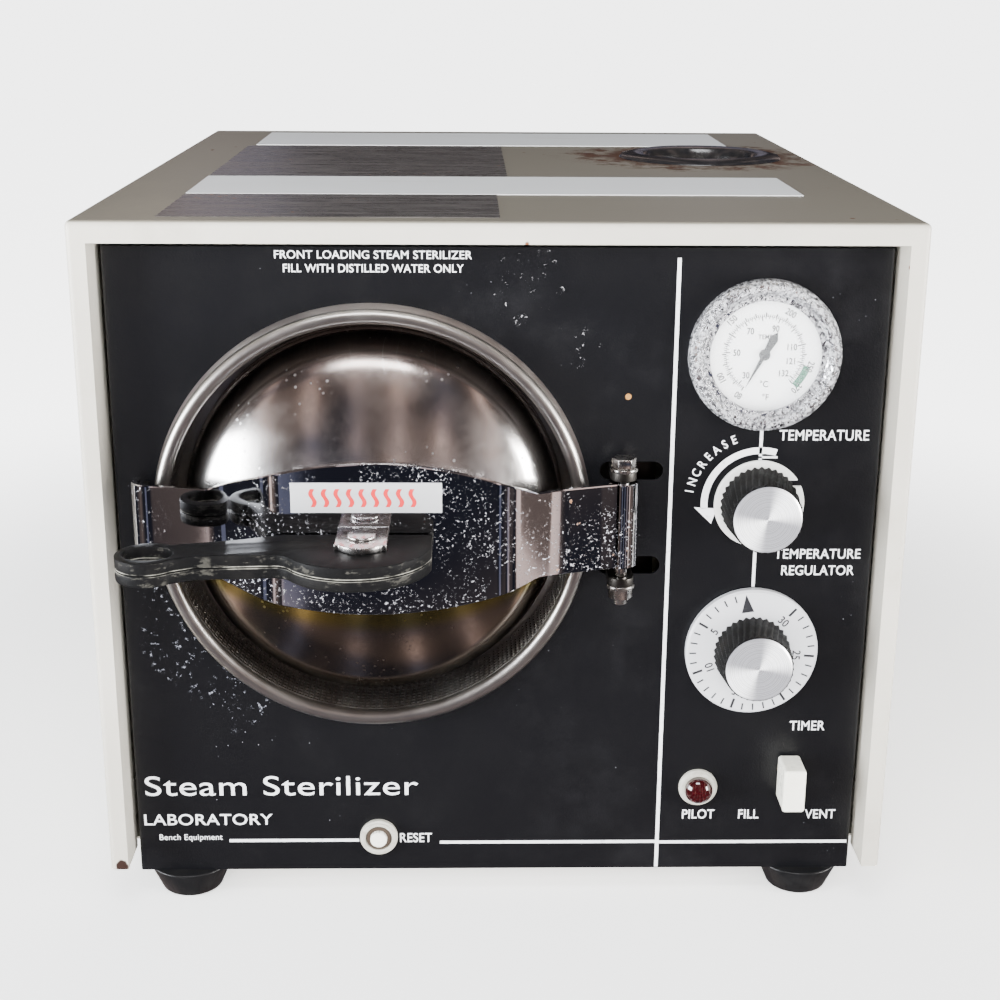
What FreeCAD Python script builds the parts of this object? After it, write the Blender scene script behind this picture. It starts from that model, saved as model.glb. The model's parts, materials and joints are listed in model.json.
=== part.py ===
import FreeCAD, Part
import math
import os
import Sketcher

# Benchtop steam steriliser with a swinging dished door, in millimetres.
# Row frame: X to the right, Y into the machine, Z up, feet on Z = 0.
# Helper functions below take casing coordinates: Y from the casing's front edge
# and Z from the casing's lower edge. They are moved into the row frame by Y() and Z().

DIMENSIONS = {
    "cover_width": 384.0, "cover_depth": 458.0, "cover_height": 321.3,
    "sheet": 1.2, "cover_bend": 3.0, "rim_side": 9.0, "rim_top": 10.0, "rim_return": 24.0,
    "front_y": -199.427, "foot_height": 15.0, "foot_top_r": 21.5, "foot_low_r": 15.0,
    "foot_x": 157.0, "foot_front_y": 31.0, "foot_rear_y": 420.0, "pan_drop": 10.0,
    "panel_half": 180.5, "panel_top": 307.5, "panel_face": 17.0, "panel_sheet": 1.5,
    "rear_face": 455.2, "rear_sheet": 1.5,
    "door_x": -59.5, "door_z": 178.0, "vessel_r": 87.0, "vessel_wall": 2.2,
    "mouth_y": 41.5, "vessel_back": 372.0, "head_crown": 160.0, "head_knuckle": 25.0,
    "ring_in": 96.0, "ring_out": 102.5, "bead_r": 3.4, "bead_y": 8.4, "collar_back": 41.3,
    "jacket_in": 91.0, "jacket_out": 104.0, "mesh_in": 96.4, "mesh_out": 97.2,
    "dish_apex": -16.0, "dish_crown": 150.0, "dish_knuckle": 28.0, "dish_skirt": 89.5,
    "dish_rim": 91.5, "dish_rim_y": 37.0, "dish_wall": 1.6, "gasket_in": 84.0,
    "hinge_x": 58.0, "hinge_y": 3.0, "hinge_bolt_r": 3.0, "hinge_fit": 0.06,
    "hinge_top_z": 202.0, "hinge_low_z": 154.6, "barrel_r": 7.0,
    "band_thick": 3.0, "band_face": -22.5, "band_half_end": 20.5, "band_half_mid": 36.0,
    "band_left": -170.0, "band_z": 180.5,
    "handle_low": 173.0, "handle_top": 184.0, "pin_x": -61.5, "pin_y": -37.0,
    "heel_x": -34.1, "heel_y": -27.6, "heel_pin_r": 1.5, "heel_fit": 0.06,
    "cam_r": 32.0, "loop_x": -154.0, "loop_y": -49.5, "loop_r": 14.2, "loop_hole_r": 8.7,
    "gauge_x": 123.0, "gauge_z": 258.3, "gauge_bezel_r": 35.5, "gauge_dial_r": 27.0,
    "knob_x": 124.2, "regulator_z": 186.0, "timer_z": 111.0, "cap_r": 15.9,
    "skirt_r": 21.5, "timer_dial_r": 32.3, "shaft_r": 3.0, "shaft_fit": 0.06,
    "pilot_x": 101.5, "pilot_z": 36.0, "lever_x": 146.5, "lever_z": 46.0,
    "reset_x": -59.3, "reset_z": 9.0, "reset_travel": 3.0,
    "filler_x": 126.5, "filler_y": 284.0, "filler_in": 32.0, "filler_out": 49.0,
}

doc = FreeCAD.newDocument("BenchtopAutoclave")
sheet = doc.addObject("Spreadsheet::Sheet", "Dims")
for row, (alias, number) in enumerate(DIMENSIONS.items(), start=1):
    sheet.set("A%d" % row, alias)
    sheet.set("B%d" % row, str(number))
    sheet.setAlias("B%d" % row, alias)
doc.recompute()


class Linked:
    """A number together with the spreadsheet formula that gives it."""

    def __init__(self, value, formula):
        self.value = value
        self.formula = formula

    def _join(self, other, sign, value, swapped=False):
        first, second = self.formula, linked(other).formula
        if swapped:
            first, second = second, first
        return Linked(value, "(%s %s %s)" % (first, sign, second))

    def __add__(self, other):
        return self._join(other, "+", self.value + linked(other).value)

    def __radd__(self, other):
        return self._join(other, "+", self.value + linked(other).value, True)

    def __sub__(self, other):
        return self._join(other, "-", self.value - linked(other).value)

    def __rsub__(self, other):
        return self._join(other, "-", linked(other).value - self.value, True)

    def __mul__(self, other):
        return self._join(other, "*", self.value * linked(other).value)

    def __rmul__(self, other):
        return self._join(other, "*", self.value * linked(other).value, True)

    def __truediv__(self, other):
        return self._join(other, "/", self.value / linked(other).value)

    def __neg__(self):
        return Linked(-self.value, "(0 - %s)" % self.formula)


def linked(number):
    """Wrap a plain number so it can be mixed with spreadsheet values."""
    if isinstance(number, Linked):
        return number
    return Linked(float(number), "%.6f" % number)


def root(number):
    """Square root of a linked number."""
    number = linked(number)
    return Linked(math.sqrt(number.value), "sqrt(%s)" % number.formula)


class Dimension:
    """Gives each spreadsheet alias as a linked number."""

    def __getattr__(self, alias):
        return Linked(DIMENSIONS[alias], "Dims.%s" % alias)


d = Dimension()


def Y(depth):
    """Row Y of a depth measured from the casing's front edge."""
    return d.front_y + depth


def Z(height):
    """Row Z of a height measured from the casing's lower edge."""
    return d.foot_height + d.pan_drop + height


def bind(item, path, number):
    """Drive one property from the spreadsheet."""
    item.setExpression(path, linked(number).formula)


TURNS = {"X": ((0, 1, 0), 90), "Y": ((1, 0, 0), -90), "-Y": ((1, 0, 0), 90),
         "Z": ((0, 0, 1), 0), "-Z": ((1, 0, 0), 180)}


def place(item, x, y, z, turn=((0, 0, 1), 0)):
    """Put an object at casing coordinates with a fixed rotation."""
    axis, degrees = turn
    item.Placement = FreeCAD.Placement(FreeCAD.Vector(0, 0, 0),
                                       FreeCAD.Rotation(FreeCAD.Vector(*axis), degrees))
    bind(item, "Placement.Base.x", x)
    bind(item, "Placement.Base.y", Y(y))
    bind(item, "Placement.Base.z", Z(z))
    return item


def box(x0, x1, y0, y1, z0, z1, turn=((0, 0, 1), 0)):
    """Box between two corners in casing coordinates."""
    item = doc.addObject("Part::Box", "Box")
    bind(item, "Length", linked(x1) - x0)
    bind(item, "Width", linked(y1) - y0)
    bind(item, "Height", linked(z1) - z0)
    return place(item, x0, y0, z0, turn)


def cylinder(axis, x, y, z, radius, length):
    """Cylinder that starts at a point and runs along an axis."""
    item = doc.addObject("Part::Cylinder", "Cylinder")
    bind(item, "Radius", radius)
    bind(item, "Height", length)
    return place(item, x, y, z, TURNS[axis])


def cone(axis, x, y, z, radius1, radius2, length):
    """Truncated cone that starts at a point and runs along an axis."""
    item = doc.addObject("Part::Cone", "Cone")
    bind(item, "Radius1", radius1)
    bind(item, "Radius2", radius2)
    bind(item, "Height", length)
    return place(item, x, y, z, TURNS[axis])


def torus(axis, x, y, z, radius, tube, sweep=360):
    """Torus round an axis through a point."""
    item = doc.addObject("Part::Torus", "Torus")
    bind(item, "Radius1", radius)
    bind(item, "Radius2", tube)
    item.Angle3 = sweep
    return place(item, x, y, z, TURNS[axis])


def hexagon(axis, x, y, z, across_corners_r, length):
    """Hexagonal prism, such as a nut or a bolt head."""
    item = doc.addObject("Part::Prism", "Hexagon")
    item.Polygon = 6
    bind(item, "Circumradius", across_corners_r)
    bind(item, "Height", length)
    return place(item, x, y, z, TURNS[axis])


def cut(base, *tools):
    """Base minus the tools."""
    item = doc.addObject("Part::Cut", "Cut")
    item.Base = base
    item.Tool = tools[0] if len(tools) == 1 else together(*tools)
    return item


def together(*items):
    """Separate or overlapping solids joined in one fuse."""
    item = doc.addObject("Part::MultiFuse", "Fuse")
    item.Shapes = list(items)
    item.Refine = True
    return item


def common(*items):
    """Volume shared by all the solids."""
    item = doc.addObject("Part::MultiCommon", "Common")
    item.Shapes = list(items)
    return item


def fillet(item, radius, edge_test):
    """Round every edge that passes a test on its two end points."""
    doc.recompute()
    rounded = doc.addObject("Part::Fillet", "Fillet")
    rounded.Base = item
    edges = []
    for number, edge in enumerate(item.Shape.Edges, start=1):
        ends = [vertex.Point for vertex in edge.Vertexes]
        if len(ends) == 2 and edge_test(ends[0], ends[1]):
            edges.append((number, radius, radius))
    rounded.Edges = edges
    return rounded


def arc_centre(start, end, radius):
    """Centre of an arc between two points; a positive radius bulges to the left."""
    half = FreeCAD.Vector(end[0] - start[0], end[1] - start[1], 0) * 0.5
    middle = FreeCAD.Vector(start[0], start[1], 0) + half
    reach = math.sqrt(max(radius * radius - half.Length ** 2, 0.0))
    side = FreeCAD.Vector(half.y, -half.x, 0).normalize() * (reach if radius > 0 else -reach)
    return middle + side


def outline_sketch(body, plane_role, outline):
    """Closed, dimensioned sketch. Each corner is (across, up) or (across, up, arc radius)."""
    sketch = body.newObject("Sketcher::SketchObject", "Outline")
    plane = [f for f in body.Origin.OriginFeatures if f.Role == plane_role][0]
    sketch.AttachmentSupport = [(plane, "")]
    sketch.MapMode = "FlatFace"
    corners = [(linked(c[0]), linked(c[1])) for c in outline]
    ends = []
    for index, corner in enumerate(outline):
        start = (corners[index - 1][0].value, corners[index - 1][1].value)
        end = (corners[index][0].value, corners[index][1].value)
        if len(corner) == 2:
            sketch.addGeometry(Part.LineSegment(FreeCAD.Vector(start[0], start[1], 0),
                                                FreeCAD.Vector(end[0], end[1], 0)))
            ends.append((1, 2))
        else:
            radius = linked(corner[2])
            middle = arc_centre(start, end, radius.value)
            circle = Part.Circle(middle, FreeCAD.Vector(0, 0, 1), abs(radius.value))
            first = math.atan2(start[1] - middle.y, start[0] - middle.x)
            last = math.atan2(end[1] - middle.y, end[0] - middle.x)
            if radius.value > 0:
                sketch.addGeometry(Part.ArcOfCircle(circle, last, first))
                ends.append((2, 1))
            else:
                sketch.addGeometry(Part.ArcOfCircle(circle, first, last))
                ends.append((1, 2))
            size = radius if radius.value > 0 else -radius
            rule = sketch.addConstraint(Sketcher.Constraint("Radius", index, size.value))
            sketch.setExpression("Constraints[%d]" % rule, size.formula)
    for index in range(len(outline)):
        following = (index + 1) % len(outline)
        sketch.addConstraint(Sketcher.Constraint("Coincident", index, ends[index][1],
                                                 following, ends[following][0]))
    for index, (across, up) in enumerate(corners):
        point = ends[index][1]
        for kind, number, axis in (("DistanceX", across, -2), ("DistanceY", up, -1)):
            if abs(number.value) < 1e-9:
                sketch.addConstraint(Sketcher.Constraint("PointOnObject", index, point, axis))
            else:
                rule = sketch.addConstraint(
                    Sketcher.Constraint(kind, -1, 1, index, point, number.value))
                sketch.setExpression("Constraints[%d]" % rule, number.formula)
    return sketch


def turned(axis, x, y, z, outline):
    """Turned body. Outline corners are (radius, distance along the axis)."""
    body = doc.addObject("PartDesign::Body", "Turned")
    sketch = outline_sketch(body, "XY_Plane", outline)
    spin = body.newObject("PartDesign::Revolution", "Revolution")
    spin.Profile = sketch
    spin.ReferenceAxis = (sketch, ["V_Axis"])
    spin.Angle = 360
    body.Tip = spin
    turn = {"Y": ((0, 0, 1), 0), "Z": ((1, 0, 0), 90), "X": ((0, 0, 1), -90)}[axis]
    return place(body, x, y, z, turn)


def plate(axis, x, y, z, thickness, outline):
    """Flat plate. Axis Z: outline in X and Y. Axis Y: outline in X and Z."""
    body = doc.addObject("PartDesign::Body", "Plate")
    sketch = outline_sketch(body, "XY_Plane" if axis == "Z" else "XZ_Plane", outline)
    pad = body.newObject("PartDesign::Pad", "Pad")
    pad.Profile = sketch
    bind(pad, "Length", thickness)
    pad.Reversed = axis == "Y"
    body.Tip = pad
    return place(body, x, y, z)


PARTS = []


def part(node, item):
    """Name a finished sub-part. The node name is also its file name."""
    item.Label = node
    PARTS.append(item)
    return item


def polar(count, offset=0.0):
    """Equally spaced angles in degrees."""
    return [offset + 360.0 * index / count for index in range(count)]


# ---------------------------------------------------------------- casing
half = d.cover_width / 2
REAR_SCREW_X = (-187.2, 187.2)
REAR_SCREW_Z = (40, 130, 220, 300)


def cover():
    """Wrap-round casing: top, two sides, folded front rim and rear rim, open below."""
    shell = fillet(box(-half, half, 0, d.cover_depth, 0, d.cover_height), DIMENSIONS["cover_bend"],
                   lambda a, b: min(a.z, b.z) > 30 or (abs(a.x - b.x) < 0.1 and abs(a.y - b.y) < 0.1))
    hollow = box(-half + d.sheet, half - d.sheet, d.sheet, d.cover_depth - d.sheet,
                 -1, d.cover_height - d.sheet)
    rim_x = half - d.rim_side
    rim_z = d.cover_height - d.rim_top
    front = box(-rim_x, rim_x, -1, d.sheet + 1, -1, rim_z)
    rear = box(-rim_x, rim_x, d.cover_depth - d.sheet - 1, d.cover_depth + 1, -1, rim_z)
    folds = cut(box(-rim_x - d.sheet, rim_x + d.sheet, 0, d.rim_return, 0, rim_z + d.sheet),
                box(-rim_x, rim_x, -1, d.rim_return + 1, -1, rim_z))
    filler = cylinder("Z", d.filler_x, d.filler_y, d.cover_height - 5, d.filler_in + 6, 10)
    holes = [cylinder("Y", x, d.cover_depth - 2, z, 1.1, 4) for x in REAR_SCREW_X for z in REAR_SCREW_Z]
    return cut(together(cut(shell, hollow, front, rear), folds), filler, *holes)


part("outer_cover", cover())


def pan():
    """Base pan with a step up to the cover's sides, cooling slots and foot holes."""
    low = -d.pan_drop
    inner = half - d.sheet - 0.3
    steps = together(box(-178.5, 178.5, 18.7, 452, low, 2),
                     box(-inner, inner, 29.5, 452, 2 - d.sheet, 22))
    space = together(box(-177.3, 177.3, 19.9, 450.8, low + d.sheet, 3),
                     box(-inner + d.sheet, inner - d.sheet, 19.9, 450.8, 2, 23))
    cuts = [space]
    for row in range(3):
        for column in range(8):
            cuts.append(box(-140 + column * 38, -114 + column * 38, 130 + row * 90, 135 + row * 90,
                            low - 1, low + 3))
    for side in (-1, 1):
        for foot_y in (d.foot_front_y, d.foot_rear_y):
            cuts.append(cylinder("Z", side * d.foot_x, foot_y, low - 1, 3.3, 4))
    return cut(steps, *cuts)


part("base_pan", pan())


def front_panel():
    """Painted front panel with side folds and every opening in it."""
    face, back = d.panel_face, d.panel_face + d.panel_sheet
    wide = d.panel_half
    skin = fillet(box(-wide, wide, face, face + 12, -d.pan_drop, d.panel_top), 1.4,
                  lambda a, b: abs(a.z - b.z) > 100 and a.y < -150 and abs(a.y - b.y) < 0.1
                  and a.y < DIMENSIONS["front_y"] + 18)
    cuts = [box(-wide + 1.5, wide - 1.5, back, face + 13, -d.pan_drop - 1, d.panel_top - 1.5)]
    cuts.append(cylinder("Y", d.door_x, face - 2, d.door_z, d.ring_out - 2.8, 6))
    for x, z, radius in ((d.gauge_x, d.gauge_z, 30.6), (d.knob_x, d.regulator_z, 5.4),
                         (d.knob_x, d.timer_z, 5.4), (d.pilot_x, d.pilot_z, 6.4),
                         (d.lever_x, d.lever_z, 5.4), (d.reset_x, d.reset_z, 6.6)):
        cuts.append(cylinder("Y", x, face - 2, z, radius, 6))
    for z in (d.hinge_top_z, d.hinge_low_z):
        cuts.append(together(box(52.5, 73.5, face - 2, back + 2, z - 4.5, z + 4.5),
                             cylinder("Y", 52.5, face - 2, z, 4.5, 6),
                             cylinder("Y", 73.5, face - 2, z, 4.5, 6)))
    return cut(skin, *cuts)


part("front_panel", front_panel())


def rear_panel():
    """Rear closing sheet with louvre slots and holes for the rear fittings."""
    face = d.rear_face
    cuts = []
    for column in (-1, 1):
        for row in range(9):
            cuts.append(box(column * 70 - 45, column * 70 + 45, face - 1, face + 3,
                            150 + row * 15, 155 + row * 15))
    cuts.append(box(98, 126, face - 1, face + 3, 50, 70))
    for x, z, radius in ((-59.5, 60, 8.3), (-130, 90, 10.3)):
        cuts.append(cylinder("Y", x, face - 1, z, radius, 4))
    return cut(box(-188, 188, face, face + d.rear_sheet, 23, 318), *cuts)


part("rear_panel", rear_panel())

feet = []
foot_screws = []
for side in (-1, 1):
    for foot_y in (d.foot_front_y, d.foot_rear_y):
        low = -d.pan_drop - d.foot_height
        tread = cone("Z", side * d.foot_x, foot_y, low, d.foot_low_r, d.foot_top_r, d.foot_height)
        feet.append(cut(tread, cylinder("Z", side * d.foot_x, foot_y, low - 1, 8, 9),
                        cylinder("Z", side * d.foot_x, foot_y, low + 5, 3.4, 12)))
        foot_screws.append(together(
            cylinder("Z", side * d.foot_x, foot_y, low + 4.5, 5.5, 3.5),
            cylinder("Z", side * d.foot_x, foot_y, low + 7, 2.9, 14),
            hexagon("Z", side * d.foot_x, foot_y, -d.pan_drop + d.sheet, 5.5, 3)))
part("rubber_feet", together(*feet))
part("foot_screws", together(*foot_screws))


rear_screws = []
for x in REAR_SCREW_X:
    for z in REAR_SCREW_Z:
        rear_screws.append(together(cylinder("Y", x, d.cover_depth, z, 3.4, 2),
                                    cylinder("Y", x, d.cover_depth - 1.1, z, 1.0, 2)))
part("casing_screws", together(*rear_screws))

# ---------------------------------------------------------------- pressure vessel
back = d.vessel_back
outer_r = d.vessel_r + d.vessel_wall


def dished_end(radius, crown, knuckle):
    """Knuckle point and rise of a torispherical end of a given skirt radius."""
    inner = radius - knuckle
    drop = root((crown - knuckle) * (crown - knuckle) - inner * inner)
    meet_r = inner * crown / (crown - knuckle)
    meet = crown - drop * crown / (crown - knuckle)
    skirt = crown - drop
    return meet_r, meet, skirt


def vessel():
    """Drawn steel chamber: mouth flange, straight barrel and dished back end."""
    meet_r, meet, skirt = dished_end(outer_r, d.head_crown, d.head_knuckle)
    in_r, in_meet, in_skirt = dished_end(d.vessel_r, d.head_crown - d.vessel_wall,
                                         d.head_knuckle - d.vessel_wall)
    apex = back + skirt
    inner_apex = apex - d.vessel_wall
    shell = turned("Y", d.door_x, 0, d.door_z, [
        (0, apex), (meet_r, apex - meet, d.head_crown),
        (outer_r, apex - skirt, d.head_knuckle), (outer_r, d.mouth_y + 2.5),
        (99.0, d.mouth_y + 2.5), (99.0, d.mouth_y), (d.vessel_r, d.mouth_y),
        (d.vessel_r, inner_apex - in_skirt),
        (in_r, inner_apex - in_meet, d.vessel_wall - d.head_knuckle),
        (0, inner_apex, d.vessel_wall - d.head_crown)])
    port = together(cylinder("Z", d.door_x, 350, d.door_z - outer_r - 12, 8, 14),
                    cylinder("Z", d.door_x, 330, d.door_z + outer_r - 2, 8, 14))
    bores = together(cylinder("Z", d.door_x, 350, d.door_z - outer_r - 13, 5, 22),
                     cylinder("Z", d.door_x, 330, d.door_z + outer_r - 8, 5, 22))
    return cut(together(shell, port), bores)


part("chamber_vessel", vessel())
jacket = turned("Y", d.door_x, 0, d.door_z, [
    (d.jacket_in, 50), (d.jacket_out, 50), (d.jacket_out, 398), (d.jacket_in, 398)])
part("insulation_jacket", cut(jacket, cylinder("Z", d.door_x, 350, d.door_z - 120, 9, 60),
                              cylinder("Z", d.door_x, 330, d.door_z + 60, 9, 60)))


def cradle(y):
    """Sheet support under the insulated vessel."""
    web = box(-150, 31, y, y + 3, -8.8, 120)
    foot = box(-150, 31, y, y + 22, -8.8, -5.8)
    window = together(box(-120, -78, y - 1, y + 4, 10, 52), box(-42, 0, y - 1, y + 4, 10, 52))
    return cut(together(web, foot), window,
               cylinder("Y", d.door_x, y - 1, d.door_z, d.jacket_out + 0.4, 26))


part("vessel_cradles", together(cradle(80), cradle(310)))

part("bezel_ring", together(
    torus("Y", d.door_x, d.bead_y, d.door_z, (d.ring_in + d.ring_out) / 2, d.bead_r),
    turned("Y", d.door_x, 0, d.door_z, [
        (98.0, d.bead_y), (99.2, d.bead_y), (99.2, d.panel_face - 0.8), (104, d.panel_face - 0.8),
        (104, d.panel_face), (99.2, d.panel_face), (99.2, d.collar_back), (98.0, d.collar_back)])))


def mesh():
    """Perforated guard band that lines the door opening."""
    band = turned("Y", d.door_x, 0, d.door_z, [
        (d.mesh_in, 13), (d.mesh_out, 13), (d.mesh_out, 40), (d.mesh_in, 40)])
    slots = []
    for row in range(4):
        for degrees in polar(18, row * 5):
            slot = doc.addObject("Part::Box", "Slot")
            slot.Length = 200
            slot.Width = 2.6
            slot.Height = 5
            turn = FreeCAD.Rotation(FreeCAD.Vector(0, 1, 0), degrees / 2)
            centre = turn.multVec(FreeCAD.Vector(-100, 0, -2.5))
            slot.Placement = FreeCAD.Placement(FreeCAD.Vector(0, 0, 0), turn)
            bind(slot, "Placement.Base.x", d.door_x + centre.x)
            bind(slot, "Placement.Base.y", Y(16 + row * 6))
            bind(slot, "Placement.Base.z", Z(d.door_z + centre.z))
            slots.append(slot)
    return cut(band, *slots)


part("mesh_guard", mesh())


def heater():
    """Immersion heating element: a hairpin loop near the chamber floor."""
    z = d.door_z - 72
    legs = [cylinder("Y", d.door_x + side * 30, 100, z, 4, 282) for side in (-1, 1)]
    bend = torus("Z", d.door_x, 100, z, 30, 4, 180)
    bend.Placement = FreeCAD.Placement(FreeCAD.Vector(0, 0, 0),
                                       FreeCAD.Rotation(FreeCAD.Vector(0, 0, 1), 180))
    bind(bend, "Placement.Base.x", d.door_x)
    bind(bend, "Placement.Base.y", Y(100))
    bind(bend, "Placement.Base.z", Z(z))
    return together(*legs, bend)


part("heating_element", heater())


def tray(z):
    """Shallow stainless instrument tray with drain slots."""
    shallow = cut(box(d.door_x - 62, d.door_x + 62, 56, 356, z, z + 16),
                  box(d.door_x - 61.2, d.door_x + 61.2, 56.8, 355.2, z + 0.8, z + 17))
    slots = [box(d.door_x - 40, d.door_x + 40, 90 + n * 40, 95 + n * 40, z - 1, z + 2)
             for n in range(6)]
    return cut(shallow, *slots)


part("instrument_trays", together(tray(d.door_z - 48), tray(d.door_z - 12)))


def rack():
    """Wire rack that carries both trays."""
    wires = []
    for side in (-1, 1):
        x = d.door_x + side * 55
        for y in (75, 340):
            wires.append(cylinder("Z", d.door_x + side * 65.5, y, d.door_z - 54, 2.0, 50))
            for z in (-50.2, -14.2):
                wires.append(cylinder("X", d.door_x - 65.5, y, d.door_z + z, 1.6, 131))
        for z in (-50.2, -14.2):
            wires.append(cylinder("Y", x, 74, d.door_z + z, 1.2, 267))
    return together(*wires)


part("tray_rack", rack())

# ---------------------------------------------------------------- door
def dish():
    """Polished dished door: crown, knuckle, short skirt and beaded rim."""
    wall = d.dish_wall
    meet_r, meet, skirt = dished_end(d.dish_skirt, d.dish_crown, d.dish_knuckle)
    in_r, in_meet, in_skirt = dished_end(d.dish_skirt - wall, d.dish_crown - wall,
                                         d.dish_knuckle - wall)
    apex = d.dish_apex
    rim = d.dish_rim_y
    return turned("Y", d.door_x, 0, d.door_z, [
        (0, apex + wall), (in_r, apex + wall + in_meet, wall - d.dish_crown),
        (d.dish_skirt - wall, apex + wall + in_skirt, wall - d.dish_knuckle),
        (d.dish_skirt - wall, rim - wall), (80, rim - wall), (80, rim), (d.dish_rim, rim),
        (d.dish_rim, rim - 4), (d.dish_skirt + 0.6, rim - 4), (d.dish_skirt + 0.6, rim - 6),
        (d.dish_skirt + 1.6, rim - 6), (d.dish_skirt + 1.6, rim - 8), (d.dish_skirt, rim - 8),
        (d.dish_skirt, apex + skirt), (meet_r, apex + meet, d.dish_knuckle),
        (0, apex, d.dish_crown)])


part("door_dish", dish())
part("door_gasket", turned("Y", d.door_x, 0, d.door_z, [
    (d.gasket_in, d.dish_rim_y), (91, d.dish_rim_y), (91, 39.5), (89.8, 41), (86, 41),
    (d.gasket_in, 39.8)]))


def band():
    """Chromed yoke: bent strip, tall in the middle, with a rolled hinge barrel."""
    face = d.band_face
    t = d.band_thick
    strip = plate("Z", 0, 0, 100, 160, [
        (50, -3.4), (27, -10.5), (4, face), (-104, face), (-127, -10.5), (-162, -4.5),
        (d.band_left, 3.5, -8.0), (d.band_left, 9), (d.band_left + t, 9),
        (d.band_left + t, 3.5), (-162, -1.4, 5.2), (-126.4, -7.5), (-103.2, face + t),
        (3.2, face + t), (26.4, -7.5), (52, 1.0)])
    mid, end = d.band_half_mid, d.band_half_end
    arch = (75.0 * 75.0 + 15.5 * 15.5) / (2 * 15.5)
    shape = plate("Y", 0, -40, d.band_z, 70, [
        (70, end), (17, end), (-133, end, -arch), (-180, end), (-180, -end), (-133, -end),
        (17, -end, -arch), (70, -end)])
    barrel = cylinder("Z", d.hinge_x, d.hinge_y, d.band_z - end, d.barrel_r, end * 2)
    bore = cylinder("Z", d.hinge_x, d.hinge_y, 100, d.hinge_bolt_r + d.hinge_fit, 160)
    hub = cylinder("Y", d.door_x, face - 1, d.door_z, 6, 6)
    tongue = together(box(d.heel_x - 2.8, d.heel_x + 2.8, d.heel_y, face + 1, 177, 180),
                      cylinder("Z", d.heel_x, d.heel_y, 177, 2.8, 3))
    eye = cylinder("Z", d.heel_x, d.heel_y, 170, d.heel_pin_r + d.heel_fit, 16)
    return cut(together(common(strip, shape), barrel, tongue), bore, hub, eye)


part("yoke_band", band())
part("door_stud", together(
    cylinder("Y", d.door_x, -19.4, d.door_z, 13, 3.6),
    cylinder("Y", d.door_x, d.band_face + 0.2, d.door_z, 5.6, 5)))
part("label_plate", box(-94, -26, d.band_face - 0.5, d.band_face, 194, 208))


def clevis():
    """Chromed fork round the handle, with a closed back web."""
    ears = []
    low, top = d.handle_low - 3.1, d.handle_top + 0.1
    for z in (low, top):
        ears.append(together(box(d.pin_x - 11.5, d.pin_x + 11.5, -47, d.band_face - 0.3, z, z + 3),
                             cylinder("Z", d.pin_x, -40.5, z, 11.5, 3)))
    return cut(together(*ears), cylinder("Z", d.pin_x, d.pin_y, low - 1, d.shaft_r + 1.2, 30))


part("handle_clevis", clevis())
part("handle_pins", together(
    cylinder("Z", d.heel_x, d.heel_y, 174.5, d.heel_pin_r, 8),
    cylinder("Z", d.pin_x, d.pin_y, d.handle_low - 5.2, 4, 20.4),
    cylinder("Z", d.pin_x, d.pin_y, d.handle_top + 3.1, 6.4, 1.6),
    cylinder("Z", d.pin_x, d.pin_y, d.handle_low - 5.2, 6, 2)))


def grip(low, high):
    """One moulded half of the handle: cam end, neck and finger loop."""
    bodywork = plate("Z", 0, 0, low, high - low, [
        (-30.5, d.heel_y), (d.heel_x, -24.0, -3.6), (-98, -24.0), (-118, -31), (-146, -37.77),
        (-168.2, -49.5, -14.2), (-154, -63.7, -14.2), (-143, -58.5, -14.2), (-133, -53.5),
        (-98, -51.5),
        (-92.5, -54.5, 9.0), (-61.5, -69, -32.5), (-30.5, -42, -34.0)])
    loop = together(cylinder("Z", d.loop_x - 2.2, d.loop_y, low - 1, d.loop_hole_r, 14),
                    cylinder("Z", d.loop_x + 2.6, d.loop_y, low - 1, d.loop_hole_r, 14),
                    box(d.loop_x - 2.2, d.loop_x + 2.6, d.loop_y - d.loop_hole_r,
                        d.loop_y + d.loop_hole_r, low - 1, low + 13))
    pocket = box(d.heel_x - 3.9, -29, d.heel_y - 3.6, -22, 176.4, 180.6)
    heel = cylinder("Z", d.heel_x, d.heel_y, 174.4, d.heel_pin_r + 0.02, 8.2)
    return cut(bodywork, loop, pocket, heel, cylinder("Z", d.pin_x, d.pin_y, low - 1, 4.4, 14))


part("handle_top", grip(178.6, d.handle_top))
part("handle_bottom", grip(d.handle_low, 178.3))


def hinge_bracket():
    """Bracket behind the panel with two eyed arms that come through its slots."""
    behind = d.panel_face + d.panel_sheet
    arms = [box(46, 76, behind + 11, behind + 13, 140, 217), box(46, 76, behind, behind + 13, 165, 167),
            box(46, 76, behind, behind + 13, 190, 192)]
    holes = []
    for z in (d.hinge_top_z + 2.2, d.hinge_low_z - 2.2):
        arms.append(box(52, 64, d.hinge_y, behind + 12, z - 2, z + 2))
        arms.append(cylinder("Z", d.hinge_x, d.hinge_y, z - 2, 6, 4))
        holes.append(cylinder("Z", d.hinge_x, d.hinge_y, z - 3, d.hinge_bolt_r + 0.35, 6))
    return cut(together(*arms), *holes)


part("hinge_bracket", hinge_bracket())
upper = d.hinge_top_z + 4.2
lower = d.hinge_low_z - 4.2
part("hinge_bolt", together(
    cylinder("Z", d.hinge_x, d.hinge_y, lower - 10, d.hinge_bolt_r, upper - lower + 12),
    hexagon("Z", d.hinge_x, d.hinge_y, upper + 1.7, 5.8, 4.6)))
part("hinge_nut_and_washers", cut(
    together(cylinder("Z", d.hinge_x, d.hinge_y, upper, 6.6, 1.6),
             cylinder("Z", d.hinge_x, d.hinge_y, lower - 1.7, 6.6, 1.6),
             hexagon("Z", d.hinge_x, d.hinge_y, lower - 6.9, 5.8, 5.2)),
    cylinder("Z", d.hinge_x, d.hinge_y, lower - 9, d.hinge_bolt_r + 0.35, 84)))


def keeper():
    """Latch keeper: a flat post on the panel, inside the curled free end of the yoke."""
    return box(-166.4, -164.3, 7, d.panel_face, 164, 197)


part("latch_keeper", keeper())

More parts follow.
